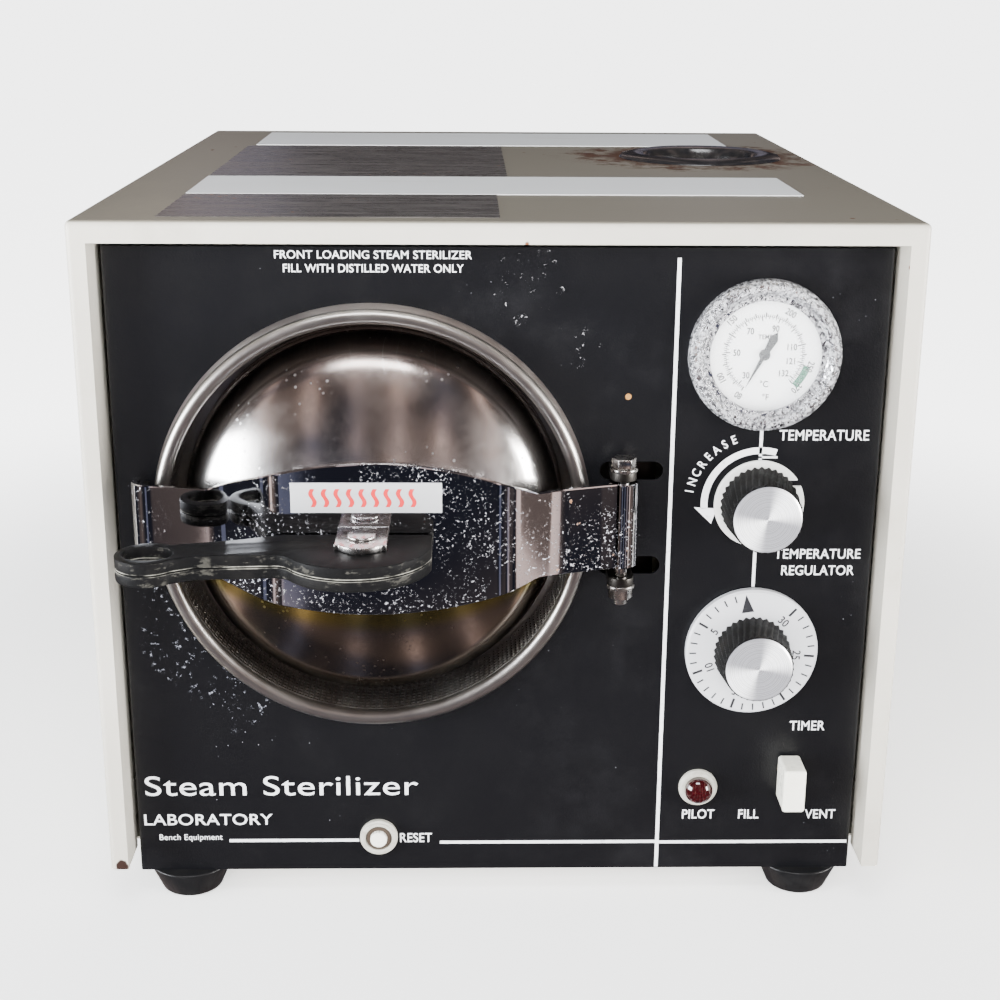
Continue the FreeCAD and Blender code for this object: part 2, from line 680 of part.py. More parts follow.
# ---------------------------------------------------------------- temperature gauge
face = d.panel_face
part("gauge_bezel", turned("Y", d.gauge_x, face, d.gauge_z, [
    (d.gauge_bezel_r, 0), (27.2, 0), (27.2, -3.8), (25.9, -3.8), (25.9, -5.2), (28.2, -5.2),
    (29.4, -6.6), (31.0, -8.2), (33.6, -7.4), (35.2, -5.2), (d.gauge_bezel_r, -3)]))
part("gauge_case", turned("Y", d.gauge_x, face, d.gauge_z, [
    (0, 0.4), (27, 0.4), (27, 0), (30.2, 0), (30.2, 26), (7, 26), (7, 34), (0, 34)]))
part("gauge_dial", cut(cylinder("Y", d.gauge_x, face - 0.4, d.gauge_z, d.gauge_dial_r - 0.1, 0.8),
                       cylinder("Y", d.gauge_x, face - 1, d.gauge_z, 1.6, 3)))
part("gauge_glass", cylinder("Y", d.gauge_x, face - 3.7, d.gauge_z, 26.9, 1.2))


def gauge_pointer():
    """Pointer and tail on a small hub, turned to the low end of the scale."""
    y = face - 1.4
    blade = plate("Y", d.gauge_x, y, d.gauge_z, 0.5, [
        (-8.2, -15.6), (1.0, -0.5), (5.8, 6.5), (5.6, 10.6), (2.1, 8.5), (-1.0, 0.5)])
    return together(blade, cylinder("Y", d.gauge_x, y - 0.4, d.gauge_z, 2.6, 1.0),
                    cylinder("Y", d.gauge_x, y, d.gauge_z, 1.5, 1.7))


part("gauge_pointer", gauge_pointer())


# ---------------------------------------------------------------- knobs
def knurled(z, skirt_y):
    """Tapered grip with a ribbed rim and a blind bore for the shaft."""
    front, rear = -9.0, skirt_y
    grip_body = cone("-Y", d.knob_x, rear, z, 19.0, 16.8, rear - front)
    ribs = []
    for degrees in polar(30):
        groove = doc.addObject("Part::Box", "Groove")
        groove.Length = 3.0
        groove.Width = 30
        groove.Height = 1.5
        turn = FreeCAD.Rotation(FreeCAD.Vector(0, 1, 0), degrees)
        start = turn.multVec(FreeCAD.Vector(17.0, 0, -0.75))
        groove.Placement = FreeCAD.Placement(FreeCAD.Vector(0, 0, 0), turn)
        bind(groove, "Placement.Base.x", d.knob_x + start.x)
        bind(groove, "Placement.Base.y", Y(front + 2.2))
        bind(groove, "Placement.Base.z", Z(z + start.z))
        ribs.append(groove)
    bore = cylinder("Y", d.knob_x, front + 4, z, d.shaft_r + 0.02, 40)
    recess = cylinder("Y", d.knob_x, front - 1, z, d.cap_r + 0.1, 1.8)
    return cut(grip_body, *ribs, bore, recess)


def aluminium_cap(z):
    """Spun disc let into the knob's front."""
    return turned("Y", d.knob_x, -9, z, [
        (0, 0.75), (d.cap_r, 0.75), (d.cap_r, -0.2), (d.cap_r - 0.9, -0.8), (0, -0.5)])


def control(z, depth, width, height):
    """Switch body behind the panel with its threaded bush."""
    shell = together(box(d.knob_x - width / 2, d.knob_x + width / 2, face + 2, face + 2 + depth,
                         z - height / 2, z + height / 2),
                     cylinder("Y", d.knob_x, face - 0.6, z, 4.9, 5))
    return cut(shell, cylinder("Y", d.knob_x, face - 2, z, d.shaft_r + d.shaft_fit, 16))


part("regulator_body", control(d.regulator_z, 34, 46, 40))
part("regulator_shaft", cylinder("Y", d.knob_x, -4.9, d.regulator_z, d.shaft_r, 34))
part("regulator_skirt", cut(
    turned("Y", d.knob_x, face, d.regulator_z, [
        (8, -2.6), (20.6, -2.6), (d.skirt_r, -1.8), (d.skirt_r, -0.8), (8, -0.8)]),
    box(d.knob_x + 12, d.knob_x + 26, face - 4, face, d.regulator_z + 9, d.regulator_z + 12)))
part("regulator_knob", knurled(d.regulator_z, face - 2.7))
part("regulator_cap", aluminium_cap(d.regulator_z))
part("timer_body", control(d.timer_z, 40, 56, 56))
part("timer_shaft", cylinder("Y", d.knob_x, -4.9, d.timer_z, d.shaft_r, 34))
part("timer_dial", turned("Y", d.knob_x, face, d.timer_z, [
    (8, -5.0), (31.2, -5.0), (d.timer_dial_r, -4.0), (d.timer_dial_r, -0.9), (31.0, -0.9),
    (31.0, -3.4), (8, -3.4)]))
part("timer_knob", knurled(d.timer_z, face - 5.1))
part("timer_cap", aluminium_cap(d.timer_z))

# ---------------------------------------------------------------- lamp, valve and reset
part("pilot_bezel", turned("Y", d.pilot_x, face, d.pilot_z, [
    (6.9, 0), (9.7, 0), (9.7, -1.6), (8.6, -3.2), (6.9, -3.2)]))
lens_r, lens_rise = 6.8, 4.2
lens_dome = (lens_r * lens_r + lens_rise * lens_rise) / (2 * lens_rise)
part("pilot_lens", turned("Y", d.pilot_x, face, d.pilot_z, [
    (0, 3), (6.2, 3), (6.2, 0), (lens_r, -0.1), (lens_r, -5.4), (0, -5.4 - lens_rise, lens_dome)]))
part("pilot_holder", turned("Y", d.pilot_x, face, d.pilot_z, [
    (0, 3.2), (8, 3.2), (8, 6), (6, 6), (6, 34), (0, 34)]))
part("valve_body", cut(
    together(cylinder("Y", d.lever_x, face + 2, d.lever_z, 17, 30),
             cylinder("Y", d.lever_x, face - 0.6, d.lever_z, 4.9, 6),
             cylinder("Y", d.lever_x, face + 30, d.lever_z + 8, 5, 12),
             cylinder("X", d.lever_x - 30, face + 18, d.lever_z, 5, 30)),
    cylinder("Y", d.lever_x, face - 2, d.lever_z, d.shaft_r + d.shaft_fit, 16)))
part("valve_stem", cylinder("Y", d.lever_x, 7, d.lever_z, d.shaft_r, 22))


def lever_cap():
    """Moulded lever cap: a tall block with rounded edges and a blind bore."""
    block = fillet(box(d.lever_x - 5.5, d.lever_x + 5.5, -3, face - 1, 31.5, 54), 1.6,
                   lambda a, b: True)
    return cut(block, cylinder("Y", d.lever_x, 6.9, d.lever_z, d.shaft_r + 0.02, 12))


part("lever_cap", lever_cap())
part("reset_breaker", cut(
    together(box(d.reset_x - 9, d.reset_x + 9, face + 3.2, face + 36, 2.4, 30),
             cylinder("Y", d.reset_x, face - 3, d.reset_z, 6.2, 8)),
    cylinder("Y", d.reset_x, face - 5, d.reset_z, 4.35, 18)))
part("reset_nut", cut(
    together(cylinder("Y", d.reset_x, face - 2.6, d.reset_z, 9.5, 2.6),
             cylinder("Y", d.reset_x, face - 3.4, d.reset_z, 8.2, 1.0)),
    cylinder("Y", d.reset_x, face - 5, d.reset_z, 6.55, 8)))
part("reset_button", turned("Y", d.reset_x, face, d.reset_z, [
    (0, 10), (4.28, 10), (4.28, -4.6), (3.6, -5.4), (0, -5.6)]))

# ---------------------------------------------------------------- water side
top = d.cover_height
part("filler_ring", turned("Z", d.filler_x, d.filler_y, top, [
    (d.filler_in, -26), (d.filler_in + 3, -26), (d.filler_in + 3, -1.6), (d.filler_in + 5.6, -1.6),
    (d.filler_in + 5.6, 0), (d.filler_out, 0), (d.filler_out - 1.5, 1.8),
    (d.filler_in + 9, 3.4), (d.filler_in + 2, 2.2), (d.filler_in, -2)]))


def reservoir():
    """Stainless water reservoir under the filler ring."""
    tank = cut(box(76, 181, 190, 392, 246, 300), box(77.2, 179.8, 191.2, 390.8, 247.2, 298.8))
    return cut(together(tank, cylinder("Z", 100, 374, 238, 5, 9)),
               cylinder("Z", d.filler_x, d.filler_y, 297, d.filler_in + 4, 10),
               cylinder("Z", 100, 374, 230, 3.6, 22))


part("water_reservoir", reservoir())


def tube(*corners):
    """Copper tube along straight runs through corner points, joined by round elbows."""
    pieces = []
    for before, after in zip(corners, corners[1:]):
        for axis, start, end in zip("XYZ", before, after):
            span = linked(end) - start
            if abs(span.value) > 0.01:
                low = before if span.value > 0 else after
                pieces.append(cylinder(axis, *low, 4, span if span.value > 0 else -span))
    for corner in corners[1:-1]:
        ball = doc.addObject("Part::Sphere", "Elbow")
        ball.Radius = 4
        pieces.append(place(ball, *corner))
    return together(*pieces)


run_z = 207
fill_tube = tube((d.lever_x, face + 42, 54), (d.lever_x, 71, 54), (d.lever_x, 71, run_z),
                 (d.lever_x, 374, run_z), (d.lever_x, 374, 230), (100, 374, 230), (100, 374, 238))
vent_x = 112
vent_tube = tube((d.lever_x - 30, face + 18, d.lever_z), (vent_x, face + 18, d.lever_z),
                 (vent_x, 70, d.lever_z), (vent_x, 70, 6), (vent_x, 350, 6), (d.door_x, 350, 6),
                 (d.door_x, 350, 76.8))
part("copper_tubes", together(fill_tube, vent_tube))
part("drain_fitting", together(
    hexagon("Y", -59.5, d.rear_face + d.rear_sheet, 60, 11, 5), cylinder("Y", -59.5, 430, 60, 8, 37)))
part("relief_valve", together(
    hexagon("Y", -130, d.rear_face + d.rear_sheet, 90, 12, 4), cylinder("Y", -130, 425, 90, 10, 30),
    cylinder("Y", -130, 455, 90, 5, 13)))


def inlet():
    """Appliance inlet with three blades in a rear-facing socket."""
    seat = d.rear_face + d.rear_sheet
    shell = together(box(90, 134, seat, seat + 2.5, 46, 74), box(98.4, 125.6, 436, seat + 1, 50.4, 69.6))
    socket = box(100.5, 123.5, 442, seat + 3, 52.5, 67.5)
    blades = [box(x - 1, x + 1, 440, seat + 1.5, z - 3, z + 3)
              for x, z in ((105, 58.5), (119, 58.5), (112, 62.5))]
    return together(cut(shell, socket), *blades)


part("power_inlet", inlet())

# ---------------------------------------------------------------- applied sheets on the top
part("foil_plates", together(box(-154, 0, 13, 95, top, top + 0.3),
                             box(-154, 7, 173, 345, top, top + 0.3)))
part("white_strips", together(box(-154, 153, 96, 172, top, top + 0.4),
                              box(-150, 153, 350, 438, top, top + 0.4)))

# ---------------------------------------------------------------- check and write
doc.recompute()
os.makedirs("parts", exist_ok=True)
faults = []
for item in doc.Objects:
    if "Invalid" in item.State or "Error" in item.State:
        faults.append("%s (%s): %s" % (item.Name, item.Label, item.State))
for item in PARTS:
    if item.Shape.isNull() or not item.Shape.isValid() or not item.Shape.Solids:
        faults.append("%s has no valid solid" % item.Label)
if faults:
    raise RuntimeError("; ".join(faults[:12]))
for item in PARTS:
    item.Shape.exportStep("parts/%s.step" % item.Label)
print("%d sub-parts written" % len(PARTS))
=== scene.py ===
import bmesh
import bpy
import json
import math
from mathutils import Matrix, Vector


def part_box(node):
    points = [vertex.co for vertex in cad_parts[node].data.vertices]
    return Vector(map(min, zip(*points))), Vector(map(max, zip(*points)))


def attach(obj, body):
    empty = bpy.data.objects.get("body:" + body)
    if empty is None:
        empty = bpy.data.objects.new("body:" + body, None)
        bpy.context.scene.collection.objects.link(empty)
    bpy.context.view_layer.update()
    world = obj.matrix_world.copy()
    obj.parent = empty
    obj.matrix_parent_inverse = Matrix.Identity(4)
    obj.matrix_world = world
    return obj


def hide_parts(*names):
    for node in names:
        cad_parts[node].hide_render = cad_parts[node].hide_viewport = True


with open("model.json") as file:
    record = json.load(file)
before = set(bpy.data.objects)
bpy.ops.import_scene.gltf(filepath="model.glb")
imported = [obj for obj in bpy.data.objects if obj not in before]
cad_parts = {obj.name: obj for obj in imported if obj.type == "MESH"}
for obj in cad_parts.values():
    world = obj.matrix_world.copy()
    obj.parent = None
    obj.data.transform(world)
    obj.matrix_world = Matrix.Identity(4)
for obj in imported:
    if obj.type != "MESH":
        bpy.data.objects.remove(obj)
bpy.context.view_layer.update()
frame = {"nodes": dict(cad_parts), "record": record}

MM = 0.001
SAME_POINT = 1e-6
cover_low, cover_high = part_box("outer_cover")
FRONT = cover_low[1]
BASE = cover_low[2]
TOP = cover_high[2]


def at(x, y, z):
    """Row-frame point, in metres, of casing millimetres: y from the front edge, z from the lower edge."""
    return Vector((x * MM, FRONT + y * MM, BASE + z * MM))


def centre(node):
    """Middle of a CAD node's box."""
    low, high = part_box(node)
    return Vector([(a + b) / 2 for a, b in zip(low, high)])


def face_depth(node):
    """Millimetres from the casing's front edge back to a node's front face."""
    return (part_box(node)[0][1] - FRONT) / MM


def polar(x, z, reach, degrees):
    """Point at a distance and angle from (x, z), counted from +X towards +Z."""
    angle = math.radians(degrees)
    return x + reach * math.cos(angle), z + reach * math.sin(angle)


# ------------------------------------------------------------------ camera, lights and surround
PITCH, YAW, ROLL = math.radians(17.56), math.radians(1.23), math.radians(0.38)
CAMERA_AT = at(-15, -724, 422)
LENS_MM = 58.9
SENSOR_MM = 36.0


def add_camera():
    """Camera at the photograph's viewing angle: slightly above, level with the casing's middle."""
    data = bpy.data.cameras.new("Camera")
    data.sensor_width = SENSOR_MM
    data.lens = LENS_MM
    data.clip_start = 0.01
    camera = bpy.data.objects.new("Camera", data)
    bpy.context.collection.objects.link(camera)
    forward = Vector((math.sin(YAW) * math.cos(PITCH), math.cos(YAW) * math.cos(PITCH), -math.sin(PITCH)))
    right = Vector((math.cos(YAW), -math.sin(YAW), 0))
    up = right.cross(forward)
    tilted_right = right * math.cos(ROLL) + up * math.sin(ROLL)
    tilted_up = up * math.cos(ROLL) - right * math.sin(ROLL)
    turn = Matrix((tilted_right, tilted_up, -forward)).transposed()
    camera.matrix_world = Matrix.Translation(CAMERA_AT) @ turn.to_4x4()
    bpy.context.scene.camera = camera


add_camera()


def soft_box(name, place, aim, size, watts, colour=(1, 1, 1), height=None, mirrored=True):
    """Rectangular studio light that points at a place; one that isn't mirrored leaves no reflection."""
    data = bpy.data.lights.new(name, "AREA")
    data.shape = "RECTANGLE"
    data.size = size
    data.size_y = height or size
    data.energy = watts
    data.color = colour
    lamp = bpy.data.objects.new(name, data)
    bpy.context.collection.objects.link(lamp)
    lamp.location = place
    lamp.visible_camera = False
    lamp.visible_glossy = mirrored
    lamp.rotation_euler = (Vector(aim) - Vector(place)).to_track_quat("-Z", "Y").to_euler()


AIM = at(0, 60, 170)
BACKDROP_GLOW, ROOM_GLOW, WINDOW_GLOW = 4.5, 0.24, 9.0
soft_box("KeyLeft", at(-1300, -380, 260), AIM, 0.9, 60, (0.93, 0.965, 1.0), 0.6)
soft_box("FillRight", at(1250, -360, 260), AIM, 0.6, 38, (1.0, 0.985, 0.96), 0.5)
soft_box("FrontHigh", at(-100, -820, 1700), AIM, 0.9, 20, (0.97, 0.98, 1.0), 0.35)
soft_box("FrontFill", at(-150, -1300, 640), AIM, 1.0, 52, (1.0, 0.99, 0.975), mirrored=False)


def world_light():
    """White surround for the camera and a dim room for the light that falls on the object.

    Mirrors show a darker, mottled room crossed by narrow bright windows."""
    world = bpy.data.worlds.new("Surround")
    bpy.context.scene.world = world
    world.use_nodes = True
    tree = world.node_tree
    tree.nodes.clear()
    path = tree.nodes.new("ShaderNodeLightPath")

    def surround(colour, strength):
        made = tree.nodes.new("ShaderNodeBackground")
        made.inputs["Color"].default_value = (*colour, 1)
        made.inputs["Strength"].default_value = strength
        return made.outputs[0]

    def choose(ray, otherwise, chosen):
        made = tree.nodes.new("ShaderNodeMixShader")
        tree.links.new(path.outputs[ray], made.inputs[0])
        tree.links.new(otherwise, made.inputs[1])
        tree.links.new(chosen, made.inputs[2])
        return made.outputs[0]

    patches = tree.nodes.new("ShaderNodeTexNoise")
    patches.inputs["Scale"].default_value = 2.4
    ramp = tree.nodes.new("ShaderNodeValToRGB")
    ramp.color_ramp.elements[0].position, ramp.color_ramp.elements[0].color = 0.42, (0.018, 0.019, 0.028, 1)
    ramp.color_ramp.elements[1].position, ramp.color_ramp.elements[1].color = 0.66, (0.20, 0.15, 0.13, 1)
    tree.links.new(patches.outputs["Fac"], ramp.inputs[0])
    mirrored = tree.nodes.new("ShaderNodeBackground")
    tree.links.new(ramp.outputs[0], mirrored.inputs["Color"])
    places = tree.nodes.new("ShaderNodeTexCoord")
    slots = tree.nodes.new("ShaderNodeTexWave")
    slots.inputs["Scale"].default_value = 1.1
    slots.inputs["Distortion"].default_value = 0.6
    tree.links.new(places.outputs["Generated"], slots.inputs["Vector"])
    windows = tree.nodes.new("ShaderNodeMapRange")
    for limit, value in (("From Min", 0.84), ("From Max", 0.88), ("To Min", 1.0), ("To Max", WINDOW_GLOW)):
        windows.inputs[limit].default_value = value
    tree.links.new(slots.outputs["Fac"], windows.inputs["Value"])
    tree.links.new(windows.outputs[0], mirrored.inputs["Strength"])
    room = choose("Is Glossy Ray", surround((0.86, 0.91, 1.0), ROOM_GLOW), mirrored.outputs[0])
    out = tree.nodes.new("ShaderNodeOutputWorld")
    tree.links.new(choose("Is Camera Ray", room, surround((1, 1, 1), BACKDROP_GLOW)), out.inputs[0])


world_light()


# ------------------------------------------------------------------ material helpers
class Recipe:
    """Short names for the shader nodes that the materials below are built from."""

    def __init__(self, name):
        self.material = bpy.data.materials.new(name)
        self.material.use_nodes = True
        self.tree = self.material.node_tree
        self.shader = self.tree.nodes["Principled BSDF"]
        self.place = self.tree.nodes.new("ShaderNodeTexCoord").outputs["Object"]

    def node(self, kind, **settings):
        made = self.tree.nodes.new("ShaderNode" + kind)
        for key, value in settings.items():
            setattr(made, key, value)
        return made

    def feed(self, socket, value):
        """Link a socket, or set it when the value is plain."""
        if isinstance(value, bpy.types.NodeSocket):
            self.tree.links.new(value, socket)
        elif isinstance(value, (tuple, list)) and len(value) == 3 and socket.type == "RGBA":
            socket.default_value = (*value, 1)
        else:
            socket.default_value = value

    def stretched(self, scale):
        """Object coordinates scaled along each axis."""
        mapping = self.node("Mapping")
        self.feed(mapping.inputs["Vector"], self.place)
        mapping.inputs["Scale"].default_value = scale
        return mapping.outputs[0]

    def noise(self, scale, detail=3.0, rough=0.55, along=None):
        made = self.node("TexNoise")
        self.feed(made.inputs["Vector"], along or self.place)
        made.inputs["Scale"].default_value = scale
        made.inputs["Detail"].default_value = detail
        made.inputs["Roughness"].default_value = rough
        return made.outputs["Fac"]

    def cells(self, scale, feature="F1", along=None):
        made = self.node("TexVoronoi", feature=feature)
        self.feed(made.inputs["Vector"], along or self.place)
        made.inputs["Scale"].default_value = scale
        return made.outputs["Distance"]

    def band(self, value, low, high, out_low=0.0, out_high=1.0):
        """Smooth step of a value between two limits."""
        made = self.node("MapRange", interpolation_type="SMOOTHSTEP")
        self.feed(made.inputs["Value"], value)
        made.inputs["From Min"].default_value = low
        made.inputs["From Max"].default_value = high
        made.inputs["To Min"].default_value = out_low
        made.inputs["To Max"].default_value = out_high
        return made.outputs[0]

    def math(self, operation, first, second=0.5):
        made = self.node("Math", operation=operation)
        self.feed(made.inputs[0], first)
        self.feed(made.inputs[1], second)
        return made.outputs[0]

    def times(self, first, second):
        return self.math("MULTIPLY", first, second)

    def most(self, first, second):
        return self.math("MAXIMUM", first, second)

    def mix(self, amount, first, second):
        """Blend two colours."""
        made = self.node("MixRGB")
        self.feed(made.inputs[0], amount)
        self.feed(made.inputs[1], first)
        self.feed(made.inputs[2], second)
        return made.outputs[0]

    def axes(self):
        made = self.node("SeparateXYZ")
        self.feed(made.inputs[0], self.place)
        return made.outputs

    def facing(self):
        """Parts of the surface normal, in the row frame."""
        geometry = self.node("NewGeometry")
        made = self.node("SeparateXYZ")
        self.feed(made.inputs[0], geometry.outputs["Normal"])
        return made.outputs

    def near(self, spot, radius, wobble=0.0, scale=60):
        """One close to a spot, fading to nothing at a radius with a ragged edge."""
        gap = self.node("VectorMath", operation="DISTANCE")
        self.feed(gap.inputs[0], self.place)
        gap.inputs[1].default_value = tuple(spot)
        reach = gap.outputs["Value"]
        if wobble:
            ragged = self.times(self.math("SUBTRACT", self.noise(scale, 5, 0.65), 0.5), wobble)
            reach = self.math("ADD", reach, ragged)
        return self.band(reach, radius, radius * 0.75)

    def bump(self, height, strength, distance, after=None):
        made = self.node("Bump")
        made.inputs["Strength"].default_value = strength
        made.inputs["Distance"].default_value = distance
        self.feed(made.inputs["Height"], height)
        if after is not None:
            self.feed(made.inputs["Normal"], after)
        return made.outputs[0]

    def finish(self, colour, rough, metal=0.0, normal=None, **extra):
        """Fill the shader's sockets and give back the material."""
        self.feed(self.shader.inputs["Base Color"], colour)
        self.feed(self.shader.inputs["Roughness"], rough)
        self.feed(self.shader.inputs["Metallic"], metal)
        if normal is not None:
            self.feed(self.shader.inputs["Normal"], normal)
        for key, value in extra.items():
            self.shader.inputs[key.replace("_", " ")].default_value = value
        return self.material


RUST = (0.11, 0.035, 0.012)
DARK_RUST = (0.035, 0.014, 0.008)


def casing_paint():
    """Warm grey textured enamel with stains, fine rust freckles and rust round the filler."""
    r = Recipe("casing_paint")
    broad = r.noise(5, 4, 0.6)
    base = r.mix(r.band(broad, 0.35, 0.7), (0.42, 0.395, 0.345), (0.485, 0.46, 0.405))
    top_face = r.band(r.facing()["Z"], 0.6, 0.9)
    base = r.mix(r.times(top_face, 0.9), base, (0.15, 0.137, 0.108))
    smear = r.noise(9, 6, 0.7, r.stretched((1.0, 0.35, 1.0)))
    base = r.mix(r.band(smear, 0.56, 0.75, 0, 0.35), base, (0.26, 0.235, 0.18))
    freckle = r.band(r.cells(95), 0.14, 0.07)
    rare = r.band(r.noise(13, 2, 0.5), 0.6, 0.66)
    freckles = r.times(freckle, rare)
    base = r.mix(freckles, base, RUST)
    filler = centre("filler_ring")
    spot = Vector((filler.x - 0.002, filler.y + 0.004, TOP))
    halo = r.near(spot, 0.088, 0.045, 45)
    ring = r.near(spot, 0.062, 0.036, 60)
    rust_tone = r.mix(r.noise(120, 5, 0.7), (0.026, 0.013, 0.009), (0.092, 0.036, 0.018))
    patch = r.times(r.most(ring, r.times(halo, r.band(r.noise(55, 5, 0.7), 0.42, 0.6))), top_face)
    base = r.mix(patch, base, rust_tone)
    corner = r.near(at(178.5, 3, 306), 0.0045, 0.004, 160)
    base = r.mix(corner, base, DARK_RUST)
    chip = r.near(at(-186, 0, 2), 0.0035, 0.003, 200)
    base = r.mix(chip, base, (0.022, 0.010, 0.007))
    worn = r.most(patch, r.most(corner, freckles))
    peel = r.bump(r.noise(430, 2, 0.5), 0.16, 0.0006)
    relief = r.bump(r.times(worn, r.noise(240, 4, 0.7)), 0.6, 0.0012, peel)
    rough = r.band(worn, 0, 1, 0.42, 0.85)
    return r.finish(base, rough, 0.0, relief, Specular_IOR_Level=0.4)


def panel_black():
    """Black fine-grain epoxy with dust, small scuffs, fine scratches and a rust fleck."""
    r = Recipe("panel_black")
    dust = r.band(r.noise(14, 7, 0.75), 0.5, 0.85, 0, 0.035)
    base = r.mix(dust, (0.0032, 0.0033, 0.0042), (0.16, 0.16, 0.175))
    fine = r.stretched((1.0, 1.0, 0.3))
    scratch = r.band(r.cells(26, "DISTANCE_TO_EDGE", r.stretched((1.0, 0.0, 0.45))), 0.0045, 0.001)
    seldom = r.band(r.noise(13, 3, 0.6, fine), 0.66, 0.70)
    scratches = r.times(scratch, seldom)
    base = r.mix(r.times(scratches, 0.35), base, (0.42, 0.43, 0.46))
    speck = r.times(r.band(r.cells(240), 0.075, 0.04), r.band(r.noise(27, 3, 0.6), 0.58, 0.66))
    base = r.mix(r.times(speck, 0.55), base, (0.36, 0.37, 0.42))
    ragged = r.band(r.noise(330, 6, 0.75), 0.60, 0.66)
    splash = r.times(r.near(at(-144, 17, 118), 0.034, 0.03, 45), ragged)
    lower = r.times(r.near(at(-128, 17, 84), 0.018, 0.02, 60), ragged)
    base = r.mix(r.times(r.most(splash, lower), 0.45), base, (0.42, 0.44, 0.52))
    chips = r.band(r.noise(250, 6, 0.8), 0.635, 0.66)
    scuff = r.times(r.near(at(14, 17, 292), 0.022, 0.02, 70), chips)
    second = r.times(r.near(at(36, 17, 262), 0.012, 0.012, 80), chips)
    base = r.mix(r.times(r.most(scuff, second), 0.6), base, (0.5, 0.5, 0.52))
    stain = r.near(at(60.5, 17, 238), 0.0016, 0.0012, 300)
    base = r.mix(r.times(stain, 0.8), base, (0.36, 0.17, 0.04))
    grain = r.bump(r.cells(1150, "SMOOTH_F1"), 0.25, 0.00028)
    marks = r.bump(r.most(scratches, scuff), 0.2, 0.0003, grain)
    rough = r.band(r.noise(24, 5, 0.65), 0.3, 0.7, 0.30, 0.40)
    return r.finish(base, rough, 0.0, marks, Specular_IOR_Level=0.36)


def steel(name, tone, rough_low, rough_high, along=(1, 1, 1), stain=0.3, scale=60, dirt=(0.12, 0.09, 0.06)):
    """Brushed or polished steel with a drawn grain and faint stains."""
    r = Recipe(name)
    lines = r.noise(scale, 4, 0.6, r.stretched(along))
    marks = r.band(r.noise(14, 6, 0.7), 0.52, 0.8, 0, stain)
    base = r.mix(marks, tone, dirt)
    rough = r.band(lines, 0.3, 0.7, rough_low, rough_high)
    normal = r.bump(lines, 0.08, 0.0003)
    return r.finish(base, rough, 1.0, normal)


def dish_steel():
    """Polished stainless door: water spots, scratches, and painted reflections: brown tints at the top and
    low down and a greenish-brown crescent below the yoke.
    """
    r = Recipe("dish_steel")
    height = r.axes()["Z"]
    haze = r.noise(30, 7, 0.75)
    arc_gap = r.node("VectorMath", operation="DISTANCE")
    r.feed(arc_gap.inputs[0], r.place)
    arc_gap.inputs[1].default_value = tuple(at(-58, -8, 334))
    below_yoke = arc_gap.outputs["Value"]
    # Mask for the painted reflection on the lower dish: the parts far from a point above the yoke.
    low = r.band(below_yoke, 0.180, 0.190)
    # Painted reflection: the top of the dish is tinted a darker brown.
    painted_top_reflection = r.band(height, BASE + 0.205, BASE + 0.262)
    base = r.mix(r.times(painted_top_reflection, 0.85), (0.68, 0.655, 0.64), (0.27, 0.215, 0.19))
    spots = r.times(r.band(r.cells(270), 0.24, 0.14), r.band(r.noise(24, 4, 0.6), 0.48, 0.62))
    rings = r.times(spots, r.band(r.cells(270), 0.08, 0.16))
    base = r.mix(r.times(r.most(rings, r.times(spots, 0.35)), 0.5), base, (0.80, 0.80, 0.82))
    scratch = r.band(r.cells(55, "DISTANCE_TO_EDGE", r.stretched((1.0, 0.2, 0.5))), 0.004, 0.001)
    scratches = r.times(scratch, r.band(r.noise(15, 2, 0.5), 0.52, 0.6))
    base = r.mix(r.times(scratches, 0.35), base, (0.9, 0.9, 0.9))
    # Painted reflection: a brown tint, varied by the haze noise, over the lower dish.
    base = r.mix(r.times(low, r.band(haze, 0.2, 0.7, 0.80, 0.96)), base, (0.27, 0.222, 0.178))
    # Painted reflection: a greenish-brown crescent just below the yoke.
    painted_crescent_reflection = r.times(r.band(below_yoke, 0.184, 0.188), r.band(below_yoke, 0.206, 0.198))
    base = r.mix(r.times(painted_crescent_reflection, 0.7), base, (0.36, 0.30, 0.05))
    rough = r.math("ADD", r.band(haze, 0.3, 0.75, 0.15, 0.26), r.times(spots, 0.16))
    normal = r.bump(r.noise(300, 3, 0.6), 0.04, 0.0004)
    return r.finish(base, rough, 1.0, normal)


def chrome_band():
    """Mirror chrome dulled by dried water spots, with rust pricks near the hinge."""
    r = Recipe("chrome_band")
    fine = r.band(r.noise(760, 4, 0.7), 0.59, 0.66)
    medium = r.band(r.noise(330, 5, 0.75), 0.65, 0.69)
    cluster = r.noise(22, 6, 0.7)
    spots = r.most(r.times(fine, r.band(cluster, 0.44, 0.60)), r.times(medium, r.band(cluster, 0.48, 0.62)))
    base = r.mix(r.times(spots, 0.8), (0.62, 0.62, 0.65), (0.42, 0.43, 0.50))
    right = r.band(r.axes()["X"], -0.005, 0.035)
    pricks = r.band(r.noise(230, 4, 0.7), 0.66, 0.70)
    rust = r.times(pricks, right)
    base = r.mix(rust, base, (0.26, 0.11, 0.04))
    metal = r.math("SUBTRACT", 1.0, r.times(r.most(spots, rust), 0.8))
    rough = r.math("ADD", r.band(cluster, 0.3, 0.8, 0.03, 0.10), r.times(spots, 0.5))
    ripple = r.bump(r.noise(9, 2, 0.5), 0.10, 0.004)
    return r.finish(base, rough, metal, r.bump(spots, 0.12, 0.0002, ripple))


